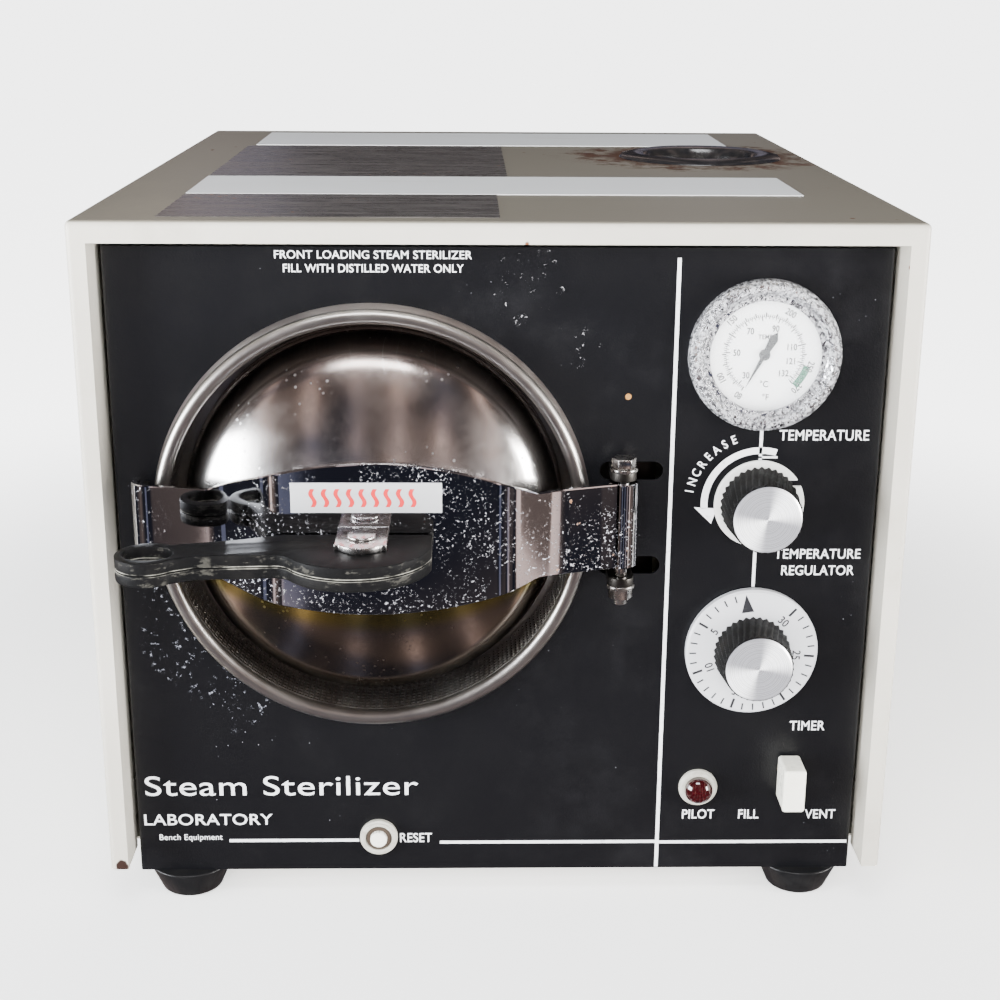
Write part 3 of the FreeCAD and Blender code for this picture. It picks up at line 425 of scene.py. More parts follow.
def pitted_chrome():
    """Corroded gauge bezel: chrome flaking to dark pits and white bloom."""
    r = Recipe("pitted_chrome")
    flake = r.band(r.noise(620, 6, 0.75), 0.515, 0.55)
    white = r.band(r.noise(520, 5, 0.7, r.stretched((1.3, 1.3, 0.9))), 0.46, 0.56)
    base = r.mix(flake, (0.62, 0.62, 0.65), (0.03, 0.03, 0.034))
    base = r.mix(r.times(white, 0.5), base, (0.26, 0.265, 0.28))
    metal = r.math("SUBTRACT", 1.0, r.times(r.most(flake, white), 0.8))
    rough = r.band(r.most(flake, white), 0, 1, 0.12, 0.6)
    normal = r.bump(r.math("SUBTRACT", white, flake), 0.4, 0.0005)
    return r.finish(base, rough, metal, normal)


def phenolic():
    """Worn black phenolic: satin top, chalky edges and dried deposits."""
    r = Recipe("phenolic")
    broad = r.noise(35, 6, 0.7)
    base = r.mix(r.band(broad, 0.45, 0.75, 0, 0.5), (0.004, 0.004, 0.0043), (0.016, 0.0145, 0.013))
    side = r.band(r.math("ABSOLUTE", r.facing()["Z"], 0.0), 0.7, 0.3)
    chalk = r.times(r.band(r.noise(150, 6, 0.75, r.stretched((0.5, 0.5, 1.2))), 0.54, 0.62), side)
    base = r.mix(r.times(chalk, 0.3), base, (0.10, 0.095, 0.08))
    seam_gap = r.math("ABSOLUTE", r.math("SUBTRACT", r.axes()["Z"], BASE + 0.17845), 0.0)
    seam = r.times(r.band(seam_gap, 0.0009, 0.0003), side)
    base = r.mix(r.times(seam, r.band(r.noise(70, 4, 0.6), 0.4, 0.6)), base, (0.30, 0.29, 0.25))
    rough = r.band(broad, 0.3, 0.7, 0.42, 0.56)
    normal = r.bump(r.noise(500, 4, 0.6), 0.12, 0.0003)
    return r.finish(base, rough, 0.0, normal, Specular_IOR_Level=0.07)


def plastic(name, tone, worn, rough=0.35, mottled=0.25, scale=40, grain=300, specular=0.5):
    """Moulded plastic, rubber or paint with faint mottling."""
    r = Recipe(name)
    amount = r.band(r.noise(scale, 5, 0.65), 0.45, 0.75, 0, mottled)
    base = r.mix(amount, tone, worn)
    uneven = r.band(r.noise(scale * 2, 4, 0.6), 0.3, 0.7, rough * 0.8, rough * 1.25)
    normal = r.bump(r.noise(grain, 3, 0.6), 0.08, 0.0003)
    return r.finish(base, uneven, 0.0, normal, Specular_IOR_Level=specular)


def spun(name, node, tone=(0.24, 0.24, 0.26)):
    """Spun aluminium disc: fine rings round its own centre and two pairs of painted light fans."""
    r = Recipe(name)
    middle = centre(node)
    gap = r.node("VectorMath", operation="SUBTRACT")
    r.feed(gap.inputs[0], r.place)
    gap.inputs[1].default_value = tuple(middle)
    flat = r.node("VectorMath", operation="MULTIPLY")
    r.feed(flat.inputs[0], gap.outputs[0])
    flat.inputs[1].default_value = (1, 0, 1)
    length = r.node("VectorMath", operation="LENGTH")
    r.feed(length.inputs[0], flat.outputs[0])
    wave = r.node("TexNoise")
    wave.noise_dimensions = "1D"
    r.feed(wave.inputs["W"], length.outputs["Value"])
    wave.inputs["Scale"].default_value = 2600
    wave.inputs["Detail"].default_value = 3
    rings = wave.outputs["Fac"]
    parts = r.node("SeparateXYZ")
    r.feed(parts.inputs[0], flat.outputs[0])
    angle = r.math("ARCTAN2", parts.outputs["Z"], parts.outputs["X"])
    fan = r.band(r.math("SINE", r.math("MULTIPLY", r.math("ADD", angle, 0.15), 2.0), 0.0), -0.3, 0.95)
    base = r.mix(fan, tone, (0.97, 0.97, 0.99))
    base = r.mix(r.band(r.noise(60, 5, 0.7), 0.6, 0.8, 0, 0.3), base, (0.5, 0.5, 0.52))
    rough = r.band(rings, 0.3, 0.7, 0.20, 0.36)
    tangent = r.node("Tangent", direction_type="RADIAL", axis="Y")
    r.feed(r.shader.inputs["Tangent"], tangent.outputs[0])
    return r.finish(base, rough, 0.35, r.bump(rings, 0.03, 0.0001), Anisotropic=0.7)


def glass(name, tint, rough=0.02, alpha=0.05):
    """Thin clear cover that mostly shows its reflections."""
    r = Recipe(name)
    smear = r.band(r.noise(40, 4, 0.6), 0.45, 0.8, rough, rough + 0.08)
    return r.finish(tint, smear, 0.0, None, Alpha=alpha, IOR=1.5, Specular_IOR_Level=0.4)


def lens_red():
    """Deep red translucent lamp lens."""
    r = Recipe("lens_red")
    mottled = r.mix(r.noise(160, 3, 0.6), (0.010, 0.0004, 0.0008), (0.026, 0.0008, 0.0015))
    return r.finish(mottled, r.band(r.noise(90, 3, 0.6), 0.3, 0.7, 0.05, 0.12), 0.0, None,
                    Coat_Weight=1.0, Coat_Roughness=0.03, Specular_IOR_Level=0.6)


def foil():
    """Scratched self-adhesive mirror foil with rusty nicks."""
    r = Recipe("foil")
    lines = r.noise(190, 7, 0.75, r.stretched((0.12, 1.2, 1.0)))
    base = r.mix(r.band(lines, 0.35, 0.75), (0.115, 0.108, 0.104), (0.235, 0.222, 0.216))
    nick = r.times(r.band(r.cells(130), 0.16, 0.09), r.band(r.noise(22, 4, 0.6), 0.55, 0.62))
    base = r.mix(nick, base, (0.28, 0.13, 0.06))
    rough = r.band(lines, 0.35, 0.75, 0.22, 0.42)
    metal = r.math("SUBTRACT", 0.55, r.times(nick, 0.5))
    return r.finish(base, rough, metal, r.bump(lines, 0.12, 0.0003))


def white_tape():
    """White self-adhesive strip with a few grey scuffs."""
    r = Recipe("white_tape")
    marks = r.band(r.noise(45, 6, 0.7, r.stretched((0.3, 1, 1))), 0.6, 0.75, 0, 0.35)
    base = r.mix(marks, (0.83, 0.845, 0.85), (0.55, 0.54, 0.50))
    return r.finish(base, 0.38, 0.0, r.bump(r.noise(200, 3, 0.5), 0.05, 0.0003))


def label_foil():
    """Brushed silver label stock."""
    r = Recipe("label_foil")
    lines = r.noise(300, 3, 0.5, r.stretched((0.05, 1, 1)))
    base = r.mix(lines, (0.70, 0.715, 0.74), (0.80, 0.815, 0.84))
    return r.finish(base, 0.38, 0.55, r.bump(lines, 0.05, 0.0002))


def print_ink(name, tone, worn, rough=0.45):
    """Screen-printed ink, slightly broken up by wear."""
    r = Recipe(name)
    base = r.mix(r.band(r.noise(320, 4, 0.6), 0.55, 0.72, 0, 0.5), tone, worn)
    return r.finish(base, rough, 0.0, r.bump(r.noise(700, 2, 0.5), 0.05, 0.0001))


PAINT = casing_paint()
PANEL = panel_black()
DISH = dish_steel()
CHROME = chrome_band()
PHENOLIC = phenolic()
RING = steel("ring_steel", (0.52, 0.495, 0.47), 0.30, 0.38, (1, 1, 1), 0.12, 90, (0.20, 0.16, 0.12))
HARDWARE = steel("hardware_steel", (0.46, 0.44, 0.42), 0.14, 0.34, (1, 1, 1), 0.75, 170, (0.14, 0.07, 0.04))
SATIN = steel("satin_chrome", (0.60, 0.585, 0.575), 0.16, 0.30, (1, 1, 1), 0.6, 140, (0.30, 0.22, 0.18))
DARK_STEEL = steel("dark_steel", (0.07, 0.065, 0.06), 0.35, 0.55, (1, 1, 1), 0.3, 90, (0.03, 0.02, 0.015))
PLAIN_STEEL = steel("plain_steel", (0.55, 0.54, 0.52), 0.28, 0.45, (1, 0.2, 1), 0.4, 80)
ZINC = steel("zinc_steel", (0.58, 0.56, 0.52), 0.25, 0.5, (1, 1, 1), 0.55, 130, (0.16, 0.09, 0.05))
ZINC_SHEET = steel("zinc_sheet", (0.50, 0.51, 0.52), 0.3, 0.5, (1, 1, 0.3), 0.3, 40)
BRASS = steel("brass", (0.60, 0.42, 0.20), 0.25, 0.45, (1, 1, 1), 0.3, 90)
COPPER = steel("copper", (0.62, 0.30, 0.18), 0.25, 0.4, (1, 1, 1), 0.35, 90)
RUBBER = plastic("black_rubber", (0.005, 0.005, 0.0055), (0.018, 0.018, 0.018), 0.36, 0.4, 60, specular=0.3)
BLACK = plastic("black_plastic", (0.010, 0.010, 0.011), (0.04, 0.035, 0.03), 0.22, 0.4, 50, specular=0.6)
KNOB = plastic("knob_black", (0.005, 0.005, 0.005), (0.022, 0.020, 0.018), 0.6, 0.6, 70, specular=0.1)
SWITCH = plastic("switch_brown", (0.05, 0.035, 0.025), (0.09, 0.07, 0.05), 0.5, 0.3)
IVORY = plastic("ivory_cap", (0.80, 0.79, 0.70), (0.62, 0.58, 0.45), 0.28, 0.3, 60, 200)
WHITE_BUTTON = plastic("white_button", (0.78, 0.77, 0.70), (0.55, 0.50, 0.38), 0.3, 0.4, 120)
GREY_BEZEL = plastic("grey_bezel", (0.42, 0.41, 0.36), (0.20, 0.17, 0.12), 0.3, 0.6, 140)
SKIRT = plastic("skirt_grey", (0.62, 0.62, 0.60), (0.40, 0.39, 0.36), 0.35, 0.4, 90)
DIAL_WHITE = plastic("dial_white", (0.86, 0.87, 0.88), (0.80, 0.80, 0.78), 0.4, 0.3, 30)
DIAL_SILVER = plastic("dial_silver", (0.50, 0.505, 0.53), (0.50, 0.50, 0.51), 0.36, 0.3, 60, 300, 0.6)
WOOL = plastic("glass_wool", (0.60, 0.55, 0.42), (0.45, 0.40, 0.30), 0.9, 0.6, 120, 400, 0.2)
PITTED = pitted_chrome()
LENS = lens_red()
GLASS = glass("gauge_glass", (0.95, 0.97, 0.98))
FOIL = foil()
TAPE = white_tape()
LABEL = label_foil()
WHITE_INK = print_ink("white_ink", (0.74, 0.75, 0.77), (0.30, 0.31, 0.33))
BLACK_INK = print_ink("black_ink", (0.015, 0.015, 0.018), (0.10, 0.10, 0.10))
RED_INK = print_ink("red_ink", (0.50, 0.002, 0.008), (0.56, 0.05, 0.06))
POINTER = plastic("pointer_ink", (0.006, 0.007, 0.010), (0.02, 0.02, 0.03), 0.3)
GREEN_INK = print_ink("green_ink", (0.0, 0.12, 0.06), (0.05, 0.20, 0.12))
CAP_ONE = spun("regulator_spun", "regulator_cap")
CAP_TWO = spun("timer_spun", "timer_cap")

FINISHES = {
    PAINT: ["outer_cover", "base_pan"], PANEL: ["front_panel"],
    ZINC_SHEET: ["rear_panel", "vessel_cradles", "gauge_case"],
    RUBBER: ["rubber_feet", "door_gasket"],
    ZINC: ["foot_screws", "casing_screws", "door_stud"],
    HARDWARE: ["hinge_bolt", "hinge_nut_and_washers"], DARK_STEEL: ["hinge_bracket", "latch_keeper"],
    PLAIN_STEEL: ["chamber_vessel", "mesh_guard", "heating_element", "instrument_trays", "tray_rack",
                  "water_reservoir"],
    WOOL: ["insulation_jacket"], RING: ["bezel_ring"], DISH: ["door_dish"],
    CHROME: ["yoke_band"], SATIN: ["handle_clevis", "handle_pins"], LABEL: ["label_plate"],
    PHENOLIC: ["handle_top", "handle_bottom"], PITTED: ["gauge_bezel"],
    DIAL_WHITE: ["gauge_dial"], GLASS: ["gauge_glass"], POINTER: ["gauge_pointer"],
    SWITCH: ["regulator_body", "timer_body", "pilot_holder", "reset_breaker"],
    BRASS: ["regulator_shaft", "timer_shaft", "valve_body", "valve_stem", "drain_fitting", "relief_valve"],
    SKIRT: ["regulator_skirt"], KNOB: ["regulator_knob", "timer_knob"],
    CAP_ONE: ["regulator_cap"], CAP_TWO: ["timer_cap"], DIAL_SILVER: ["timer_dial"],
    GREY_BEZEL: ["pilot_bezel", "reset_nut"], LENS: ["pilot_lens"], IVORY: ["lever_cap"],
    WHITE_BUTTON: ["reset_button"], BLACK: ["filler_ring", "power_inlet"], COPPER: ["copper_tubes"],
    FOIL: ["foil_plates"], TAPE: ["white_strips"],
}


def paint(piece, material):
    """One material on the whole piece."""
    piece.data.materials.clear()
    piece.data.materials.append(material)


def smooth(piece, degrees=35):
    """Smooth shading with sharp edges kept."""
    with bpy.context.temp_override(object=piece, active_object=piece, selected_objects=[piece],
                                   selected_editable_objects=[piece]):
        bpy.ops.object.shade_smooth_by_angle(angle=math.radians(degrees))


for material, nodes in FINISHES.items():
    for node in nodes:
        for holder in frame["nodes"][node].material_slots:
            holder.material = material


# ------------------------------------------------------------------ mesh helpers
def add_mesh(name, points, faces, material, body):
    """New mesh piece that rides on a body and takes the given material."""
    data = bpy.data.meshes.new(name)
    data.from_pydata([tuple(p) for p in points], [], faces)
    data.validate()
    piece = bpy.data.objects.new(name, data)
    bpy.context.collection.objects.link(piece)
    paint(piece, material)
    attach(piece, body)
    return piece


def clean(piece, merge=None, thickness=None):
    """Merge doubled points, turn the faces outward and thicken a sheet, as asked."""
    mesh = bmesh.new()
    mesh.from_mesh(piece.data)
    if merge:
        bmesh.ops.remove_doubles(mesh, verts=mesh.verts, dist=merge)
    bmesh.ops.recalc_face_normals(mesh, faces=mesh.faces)
    if thickness:
        bmesh.ops.solidify(mesh, geom=mesh.faces, thickness=thickness)
    mesh.to_mesh(piece.data)
    mesh.free()


def lathe(name, middle, profile, material, body, segments=160, closed=True, ripple=None):
    """Turn a profile of (radius, y) in mm round a Y axis. ripple moves each point's radius."""
    points, faces = [], []
    count = len(profile)
    for step in range(segments):
        angle = 2 * math.pi * step / segments
        for index, (radius, depth) in enumerate(profile):
            reach = radius + (ripple(angle, radius, depth) if ripple else 0)
            points.append((middle[0] + math.cos(angle) * reach * MM, middle[1] + depth * MM,
                           middle[2] + math.sin(angle) * reach * MM))
    spans = count if closed else count - 1
    for step in range(segments):
        here, there = step * count, (step + 1) % segments * count
        for index in range(spans):
            following = (index + 1) % count
            faces.append((here + index, here + following, there + following, there + index))
    piece = add_mesh(name, points, faces, material, body)
    clean(piece, merge=SAME_POINT)
    smooth(piece)
    return piece


def arc(middle, radius, start, end, steps):
    """Points on an arc, in degrees, ends included."""
    turns = [math.radians(start + (end - start) * n / steps) for n in range(steps + 1)]
    return [(middle[0] + radius * math.cos(t), middle[1] + radius * math.sin(t)) for t in turns]


def softened(node, width, segments=3, degrees=40):
    """Copy of a CAD node with its sharp edges rounded, which stands for the node."""
    source = frame["nodes"][node]
    piece = bpy.data.objects.new(node + "_soft", source.data.copy())
    bpy.context.collection.objects.link(piece)
    mesh = bmesh.new()
    mesh.from_mesh(piece.data)
    bmesh.ops.remove_doubles(mesh, verts=mesh.verts, dist=2e-6)
    bmesh.ops.dissolve_limit(mesh, angle_limit=math.radians(1.5), verts=mesh.verts, edges=mesh.edges)
    mesh.to_mesh(piece.data)
    mesh.free()
    bevel = piece.modifiers.new("Round", "BEVEL")
    bevel.width = width * MM
    bevel.segments = segments
    bevel.limit_method = "ANGLE"
    bevel.angle_limit = math.radians(degrees)
    bevel.harden_normals = False
    graph = bpy.context.evaluated_depsgraph_get()
    shaped = bpy.data.meshes.new_from_object(piece.evaluated_get(graph))
    piece.modifiers.clear()
    piece.data = shaped
    smooth(piece)
    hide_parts(node)
    return piece


def body_name(node):
    """Body that a CAD node belongs to."""
    for body, nodes in frame["record"]["behaviour"]["bodies"].items():
        if node in nodes:
            return body
    raise KeyError(node)


# ------------------------------------------------------------------ door
door = centre("door_dish")
DOOR_X, DOOR_Z = door.x / MM, (door.z - BASE) / MM


def door_dish():
    """Smooth dished door: crown, knuckle, skirt and stepped rim."""
    low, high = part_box("door_dish")
    apex = (low[1] - FRONT) / MM
    skirt, knuckle, crown, wall = 89.5, 28.0, 150.0, 1.6
    inner = skirt - knuckle
    drop = math.sqrt((crown - knuckle) ** 2 - inner ** 2)
    tilt = math.degrees(math.atan2(inner, drop))
    outer = [(r, apex + crown + y) for r, y in arc((0, 0), crown, 270, 270 + tilt, 40)]
    bend = arc((inner, apex + crown - drop), knuckle, 270 + tilt, 360, 20)
    rim = (high[1] - FRONT) / MM
    steps = [(skirt, rim - 9.2), (skirt + 1.2, rim - 8.6), (skirt + 1.4, rim - 7.2), (skirt + 0.5, rim - 6.4),
             (skirt + 0.5, rim - 4.6), (skirt + 1.7, rim - 4.0), (skirt + 2.0, rim - 2.0),
             (skirt + 1.7, rim), (80, rim), (80, rim - wall), (skirt - wall, rim - wall)]
    inside = arc((inner, apex + crown - drop), knuckle - wall, 360, 270 + tilt, 20)
    inside += [(r, apex + crown + y) for r, y in arc((0, 0), crown - wall, 270 + tilt, 270, 40)]
    profile = outer + bend[1:] + steps + inside
    piece = lathe("door_dish_polished", at(DOOR_X, 0, DOOR_Z), profile, DISH, "door",
                  200, closed=False)
    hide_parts("door_dish")


door_dish()


def bezel_ring():
    """Bead ring, collar and thin flange round the door opening."""
    bead = arc((99.25, 8.4), 3.45, 150, -200, 28)
    profile = [(98.0, 41.3), (98.0, 12.0)] + bead[::-1] + [
        (99.4, 12.2), (99.4, 15.6), (100.4, 16.2), (104, 16.4), (104, 17), (99.2, 17), (99.2, 41.3)]
    piece = lathe("bezel_ring_bead", at(DOOR_X, 0, DOOR_Z), profile, RING, "frame", 240)
    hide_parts("bezel_ring")


bezel_ring()


def mesh_guard():
    """Perforated guard: rows of square holes left between thin webs."""
    around, rows = 216, 8
    web = 0.34
    start, pitch = 13.0, 27.0 / rows
    radius = 96.5
    points, faces = [], []

    def corner(turn, depth):
        angle = 2 * math.pi * turn / around
        middle = at(DOOR_X, depth, DOOR_Z)
        points.append((middle.x + math.cos(angle) * radius * MM, middle.y,
                       middle.z + math.sin(angle) * radius * MM))
        return len(points) - 1

    for column in range(around):
        for row in range(rows):
            y0, y1 = start + row * pitch, start + (row + 1) * pitch
            outer = [corner(column, y0), corner(column + 1, y0), corner(column + 1, y1), corner(column, y1)]
            side = web / 2
            hole = [corner(column + side, y0 + side * pitch), corner(column + 1 - side, y0 + side * pitch),
                    corner(column + 1 - side, y1 - side * pitch), corner(column + side, y1 - side * pitch)]
            for edge in range(4):
                other = (edge + 1) % 4
                faces.append((outer[edge], outer[other], hole[other], hole[edge]))
    piece = add_mesh("mesh_guard_holes", points, faces, PLAIN_STEEL, "frame")
    clean(piece, merge=SAME_POINT, thickness=-0.0006)
    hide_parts("mesh_guard")


mesh_guard()


def rounded_path(corners, radius, steps=8):
    """Open path through corners with each inner corner rounded."""
    path = [Vector(corners[0])]
    for before, corner, after in zip(corners, corners[1:], corners[2:]):
        before, corner, after = Vector(before), Vector(corner), Vector(after)
        inward, outward = (before - corner), (after - corner)
        reach = min(radius, inward.length * 0.45, outward.length * 0.45)
        start, end = corner + inward.normalized() * reach, corner + outward.normalized() * reach
        for n in range(steps + 1):
            t = n / steps
            path.append(start * (1 - t) ** 2 + corner * (2 * t * (1 - t)) + end * t ** 2)
    path.append(Vector(corners[-1]))
    return path


def yoke_band():
    """Chromed yoke strip with soft bends, an arched outline and a rolled hinge barrel."""
    thick, mid_z, end_half, mid_half = 3.0, 180.5, 20.5, 36.0
    hinge = centre("hinge_bolt")
    hinge_x, hinge_y = hinge.x / MM, (hinge.y - FRONT) / MM
    route = [(-168.5, 8.0), (-169.0, 1.0), (-163.0, -3.6), (-127, -10.0), (-103.6, -21.0), (3.6, -21.0),
             (27, -10.0), (47, -3.5)]
    path = rounded_path(route, 5.0)
    barrel = arc((hinge_x, hinge_y), 5.5, 232, -110, 26)
    path += [Vector(p) for p in barrel]
    lengths = [0.0]
    for a, b in zip(path, path[1:]):
        lengths.append(lengths[-1] + (b - a).length)
    even = []
    count = 300
    for n in range(count + 1):
        want = lengths[-1] * n / count
        index = max(i for i, v in enumerate(lengths[:-1]) if v <= want + 1e-9)
        span = lengths[index + 1] - lengths[index]
        t = (want - lengths[index]) / span if span else 0
        even.append(path[index].lerp(path[index + 1], t))

    arch_x, arch_reach = -58.0, 75.0

    def half_height(x):
        if abs(x - arch_x) > arch_reach:
            return end_half
        rise = mid_half - end_half
        radius = (arch_reach ** 2 + rise ** 2) / (2 * rise)
        return mid_half - radius + math.sqrt(radius ** 2 - (x - arch_x) ** 2)

    lip = 0.45
    points, faces = [], []
    rings = []
    for index, here in enumerate(even):
        before, after = even[max(index - 1, 0)], even[min(index + 1, count)]
        along = (after - before).normalized()
        out = Vector((along.y, -along.x))
        on_barrel = index / count > 0.86
        tall = end_half if on_barrel else half_height(here.x)
        section = [(-thick / 2, -tall + lip), (-thick / 2 + lip, -tall), (thick / 2 - lip, -tall),
                   (thick / 2, -tall + lip)]
        section += [(thick / 2, -tall * k) for k in (0.6, 0.2, -0.2, -0.6)]
        section += [(thick / 2, tall - lip), (thick / 2 - lip, tall), (-thick / 2 + lip, tall),
                    (-thick / 2, tall - lip)]
        section += [(-thick / 2, tall * k) for k in (0.6, 0.2, -0.2, -0.6)]
        ring = []
        for side, height in section:
            place = here + out * side
            points.append(at(place.x, place.y, mid_z + height))
            ring.append(len(points) - 1)
        rings.append(ring)
    size = len(rings[0])
    for first, second in zip(rings, rings[1:]):
        for k in range(size):
            faces.append((first[k], first[(k + 1) % size], second[(k + 1) % size], second[k]))
    faces.append(tuple(reversed(rings[0])))
    faces.append(tuple(rings[-1]))
    piece = add_mesh("yoke_band_chrome", points, faces, CHROME, "door")
    clean(piece)
    smooth(piece, 30)
    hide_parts("yoke_band")


yoke_band()

for name, width in (("handle_top", 1.0), ("handle_bottom", 1.0), ("handle_clevis", 0.7), ("handle_pins", 0.6),
                    ("hinge_bolt", 0.5), ("hinge_nut_and_washers", 0.35), ("hinge_bracket", 0.4),
                    ("rubber_feet", 1.2), ("reset_nut", 0.4), ("reset_button", 0.4), ("filler_ring", 0.5),
                    ("power_inlet", 0.5), ("drain_fitting", 0.4), ("relief_valve", 0.4),
                    ("casing_screws", 0.4), ("label_plate", 0.12)):
    rounded = softened(name, width)
    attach(rounded, body_name(name))


# ------------------------------------------------------------------ knobs
def knob(name, node, body, rear):
    """Tapered grip whose slanted ribs run from the rim to the skirt."""
    place = centre(node)
    front = -9.0
    depth = rear - front
    stations = 14
    outside = []
    for n in range(stations + 1):
        t = n / stations
        outside.append((16.9 + 2.0 * t, front + 0.8 + (depth - 0.8) * t))
    profile = [(15.9, front + 1.7), (15.9, front + 0.3), (16.3, front)] + outside
    profile += [(14.0, rear), (14.0, rear - 3)]
    ribs = 34

    def ribbed(angle, radius, y):
        if radius < 16.6:
            return 0.0
        phase = ribs * angle + (y - front) * 0.42
        wave = abs((phase / math.pi) % 2 - 1)
        fade = min(1.0, (y - front) / 1.6)
        return -1.25 * (1 - wave) * fade

    piece = lathe(name, at(place.x / MM, 0, (place.z - BASE) / MM), profile, KNOB, body,
                  ribs * 8, closed=False, ripple=ribbed)
    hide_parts(node)


PANEL_FACE = face_depth("front_panel")
knob("regulator_knob_ribbed", "regulator_knob", "regulator_dial", PANEL_FACE - 2.7)
knob("timer_knob_ribbed", "timer_knob", "timer_rotor", PANEL_FACE - 5.1)


# ------------------------------------------------------------------ printed marks
INK = 0.12
SUNK = 0.01


def flat_shape(name, outline, depth, material, body):
    """Thin printed shape from an outline in casing x and z, facing the front."""
    count = len(outline)
    points = [at(x, depth - INK, z) for x, z in outline] + [at(x, depth - SUNK, z) for x, z in outline]
    faces = [tuple(range(count)), tuple(reversed(range(count, 2 * count)))]
    faces += [(n, n + count, (n + 1) % count + count, (n + 1) % count) for n in range(count)]
    piece = add_mesh(name, points, faces, material, body)
    clean(piece)
    return piece


def stripe(name, x0, z0, x1, z1, material=None, depth=None, body="frame"):
    """Rectangular printed stripe."""
    return flat_shape(name, [(x0, z0), (x1, z0), (x1, z1), (x0, z1)], PANEL_FACE if depth is None else depth,
                      material or WHITE_INK, body)


def words(name, text, x, z, size, material=None, depth=None, spin=0.0, body="frame", wide=1.0,
          slot_name="tape_white", bold=0.0):
    """Printed words or numbers, centred on a point and turned clockwise by an angle in degrees."""
    curve = bpy.data.curves.new(name, "FONT")
    curve.body = text
    curve.align_x = "CENTER"
    curve.align_y = "CENTER"
    curve.size = size * MM
    curve.extrude = INK * MM / 2
    curve.offset = bold * MM
    curve.space_character = 1.04
    piece = bpy.data.objects.new(name, curve)
    bpy.context.collection.objects.link(piece)
    front = PANEL_FACE if depth is None else depth
    tilt = Matrix.Rotation(math.radians(spin), 4, "Y") @ Matrix.Rotation(math.radians(90), 4, "X")
    piece.matrix_world = (Matrix.Translation(at(x, front - INK / 2, z)) @ tilt
                          @ Matrix.Diagonal((wide, 1, 1, 1)))
    curve.materials.append(material or WHITE_INK)
    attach(piece, body)
    return piece


def panel_print():
    """White lines and control names on the front panel."""
    stripe("line_tall", 81.1, -9.5, 82.9, 303)
    stripe("line_low_left", -135, 5.6, -69.5, 7.2)
    stripe("line_low_right", -28.5, 4.2, 81.1, 5.8)
    stripe("line_low_end", 82.9, 3.9, 179, 5.5)
    stripe("line_gauge", 123.1, 206.5, 124.6, 222)
    stripe("line_gauge_foot", 123.1, 208.2, 132.0, 209.2)
    stripe("line_timer", 123.1, 143.5, 124.6, 164)
    words("word_temperature", "TEMPERATURE", 153.6, 219.2, 7.3, wide=0.86, bold=0.06)
    words("word_regulator_top", "TEMPERATURE", 154.2, 160.0, 7.0, wide=0.88, bold=0.06)
    words("word_regulator", "REGULATOR", 154.5, 151.6, 7.0, wide=0.86, bold=0.06)
    words("word_timer", "TIMER", 154.8, 69.2, 7.2, wide=0.86, bold=0.08)
    words("word_pilot", "PILOT", 102.3, 20.2, 7.2, wide=0.84, bold=0.08)
    words("word_fill", "FILL", 127.8, 20.1, 7.2, wide=0.84, bold=0.08)
    words("word_vent", "VENT", 164.6, 20.0, 7.2, wide=0.84, bold=0.08)
    words("word_reset", "RESET", -40.8, 7.4, 7.2, wide=0.84, bold=0.08)
    words("word_kind", "Steam Sterilizer", -108.0, 36.5, 15.4, wide=1.34)
    words("word_use", "LABORATORY", -145.5, 18.0, 8.6, wide=1.14, bold=0.07)
    words("word_small", "Bench Equipment", -154.5, 8.3, 4.6, wide=0.95)
    words("word_top_one", "FRONT LOADING STEAM STERILIZER", -57.5, 303.8, 5.3, wide=0.99, bold=0.05)
    words("word_top_two", "FILL WITH DISTILLED WATER ONLY", -57.5, 297.6, 5.3, wide=0.93, bold=0.05)


panel_print()


def increase_arrow():
    """Curved arrow and the letters that follow it round the regulator."""
    place = centre("regulator_skirt")
    x, z = place.x / MM, (place.z - BASE) / MM
    outer = arc((x, z), 27.6, 74, 186, 40)
    inner = arc((x, z), 24.4, 186, 74, 40)
    flat_shape("arrow_arc", outer + inner, PANEL_FACE, WHITE_INK, "frame")
    head = [polar(x, z, 30.8, 184), polar(x, z, 20.0, 188), polar(x, z, 24.6, 205)]
    flat_shape("arrow_head", head, PANEL_FACE, WHITE_INK, "frame")
    letters = "INCREASE"
    first, last = 170, 113
    for index, letter in enumerate(letters):
        angle = first - index * (first - last) / (len(letters) - 1)
        words("arc_letter_%d" % index, letter, *polar(x, z, 33.6, angle), 6.0, spin=90 - angle, wide=0.84,
              bold=0.05)


increase_arrow()


def tick(x, z, angle, r0, r1, width):
    """Corners of a radial mark between two radii, angle in degrees from +X towards +Z."""
    a = math.radians(angle)
    along, across = Vector((math.cos(a), math.sin(a))), Vector((-math.sin(a), math.cos(a)))
    corners = [along * r0 - across * width / 2, along * r1 - across * width / 2,
               along * r1 + across * width / 2, along * r0 + across * width / 2]
    return [(x + c.x, z + c.y) for c in corners]


def scale_marks(name, marks, depth, body):
    """All the marks of one scale as a single piece of thin print."""
    points, faces = [], []
    for corners in marks:
        start = len(points)
        points += [at(x, depth - INK, z) for x, z in corners]
        points += [at(x, depth - SUNK, z) for x, z in corners]
        faces += [tuple(start + n for n in range(4)), tuple(start + n for n in (7, 6, 5, 4))]
        faces += [(start + n, start + n + 4, start + (n + 1) % 4 + 4, start + (n + 1) % 4) for n in range(4)]
    add_mesh(name, points, faces, BLACK_INK, body)


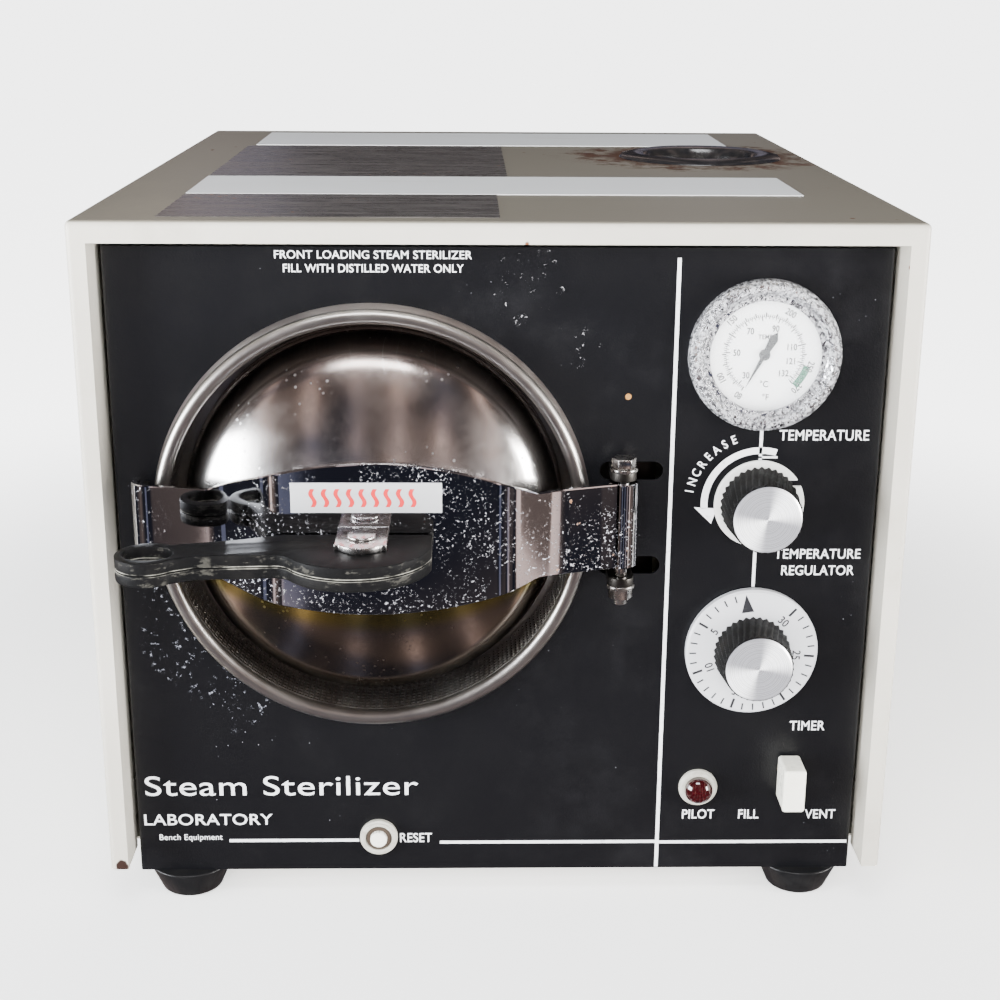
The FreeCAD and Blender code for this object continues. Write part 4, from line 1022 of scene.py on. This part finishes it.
def timer_print():
    """Minute marks, numbers and the zero wedge on the timer dial."""
    place = centre("timer_dial")
    x, z = place.x / MM, (place.z - BASE) / MM
    face = face_depth("timer_dial")
    zero, sweep, minutes = 98.0, 310.0, 30
    marks = []
    for minute in range(1, minutes + 1):
        angle = zero + minute * (sweep / minutes)
        inner = 27.2 if minute % 5 else 25.6
        marks.append(tick(x, z, angle, inner, 30.6, 0.7 if minute % 5 else 1.15))
        if minute % 5 == 0:
            words("timer_number_%02d" % minute, str(minute), *polar(x, z, 21.6, angle), 5.6, BLACK_INK,
                  face, 90 - angle, "timer_rotor", 0.9, "pointer_black", 0.08)
    scale_marks("timer_marks", marks, face, "timer_rotor")
    a = math.radians(zero)
    along, across = Vector((math.cos(a), math.sin(a))), Vector((-math.sin(a), math.cos(a)))
    wedge = [along * 30.4, along * 21.2 + across * 3.0, along * 21.2 - across * 3.0]
    flat_shape("timer_wedge", [(x + c.x, z + c.y) for c in wedge], face, BLACK_INK, "timer_rotor")


timer_print()


def gauge_print():
    """Two temperature scales, their numbers and the green band on the gauge."""
    place = centre("gauge_dial")
    x, z = place.x / MM, (place.z - BASE) / MM
    face = face_depth("gauge_dial")
    start, sweep = 240.0, 300.0

    def turn(fahrenheit):
        return start - (fahrenheit - 80.0) * sweep / 200.0

    ring = 17.8
    marks = [tick(x, z, turn(value), ring, ring + (1.9 if value % 10 == 0 else 1.1),
                  0.55 if value % 10 == 0 else 0.3) for value in range(80, 271, 2)]
    marks += [tick(x, z, turn(value * 1.8 + 32), ring - (1.9 if value % 10 == 0 else 1.1), ring,
                   0.5 if value % 10 == 0 else 0.28) for value in range(30, 133, 2)]
    marks += [tick(x, z, turn(value), ring - 0.12, ring + 0.12, 0.68) for value in range(80, 271, 2)]
    scale_marks("gauge_marks", marks, face, "frame")
    for value in (80, 100, 150, 200, 250, 270):
        a = turn(value)
        words("gauge_f_%d" % value, str(value), *polar(x, z, 22.3, a), 4.2, BLACK_INK, face, 90 - a,
              "frame", 0.8, "pointer_black", 0.08)
    for celsius in (30, 50, 70, 90, 110, 121, 132):
        a = turn(celsius * 1.8 + 32)
        words("gauge_c_%d" % celsius, str(celsius), *polar(x, z, 12.9, a), 4.2, BLACK_INK, face, 0,
              "frame", 0.8, "pointer_black", 0.08)
    for name, text, right, up, size, bold in (("gauge_unit_f", "°F", 1.5, -20.5, 4.2, 0.05),
                                              ("gauge_unit_c", "°C", 0.5, -14.2, 4.2, 0.05),
                                              ("gauge_word", "TEMP", 0.0, 8.2, 3.0, 0.04)):
        words(name, text, x + right, z + up, size, BLACK_INK, face, 0, "frame", 0.9, "pointer_black", bold)
    first, last = turn(250), turn(270)
    band = arc((x, z), 22.6, first, last, 12) + arc((x, z), 19.2, last, first, 12)
    flat_shape("gauge_green", band, face + 0.03, GREEN_INK, "frame")


gauge_print()


def label_print():
    """Row of rising heat waves: a generic hot-surface sign."""
    place = centre("label_plate")
    face = face_depth("label_plate")
    x, z = place.x / MM, (place.z - BASE) / MM
    for index in range(9):
        left = x - 25 + index * 5.6
        outline = [(left + math.sin(t * 2 * math.pi) * 0.9, z - 4.2 + t * 8.4)
                   for t in [step / 12 for step in range(13)]]
        outline += [(px + 1.9, pz) for px, pz in reversed(outline)]
        flat_shape("label_wave_%d" % index, outline, face, RED_INK, "door")


label_print()


# ------------------------------------------------------------------ floor
def add_floor():
    """Pale floor under the feet that grows brighter outwards and leaves no image in the chrome."""
    reach = 60.0
    data = bpy.data.meshes.new("Floor")
    data.from_pydata([(-reach, -reach, 0), (reach, -reach, 0), (reach, reach, 0), (-reach, reach, 0)],
                     [], [(0, 1, 2, 3)])
    floor = bpy.data.objects.new("Floor", data)
    bpy.context.collection.objects.link(floor)
    r = Recipe("floor_pale")
    gap = r.node("VectorMath", operation="LENGTH")
    r.feed(gap.inputs[0], r.place)
    r.feed(r.shader.inputs["Emission Color"], (1, 1, 1))
    r.feed(r.shader.inputs["Emission Strength"], r.band(gap.outputs["Value"], 0.32, 0.95, 1.0, 4.2))
    paint(floor, r.finish((0.9, 0.9, 0.9), 0.7, Specular_IOR_Level=0.1))
    floor.visible_glossy = False


add_floor()
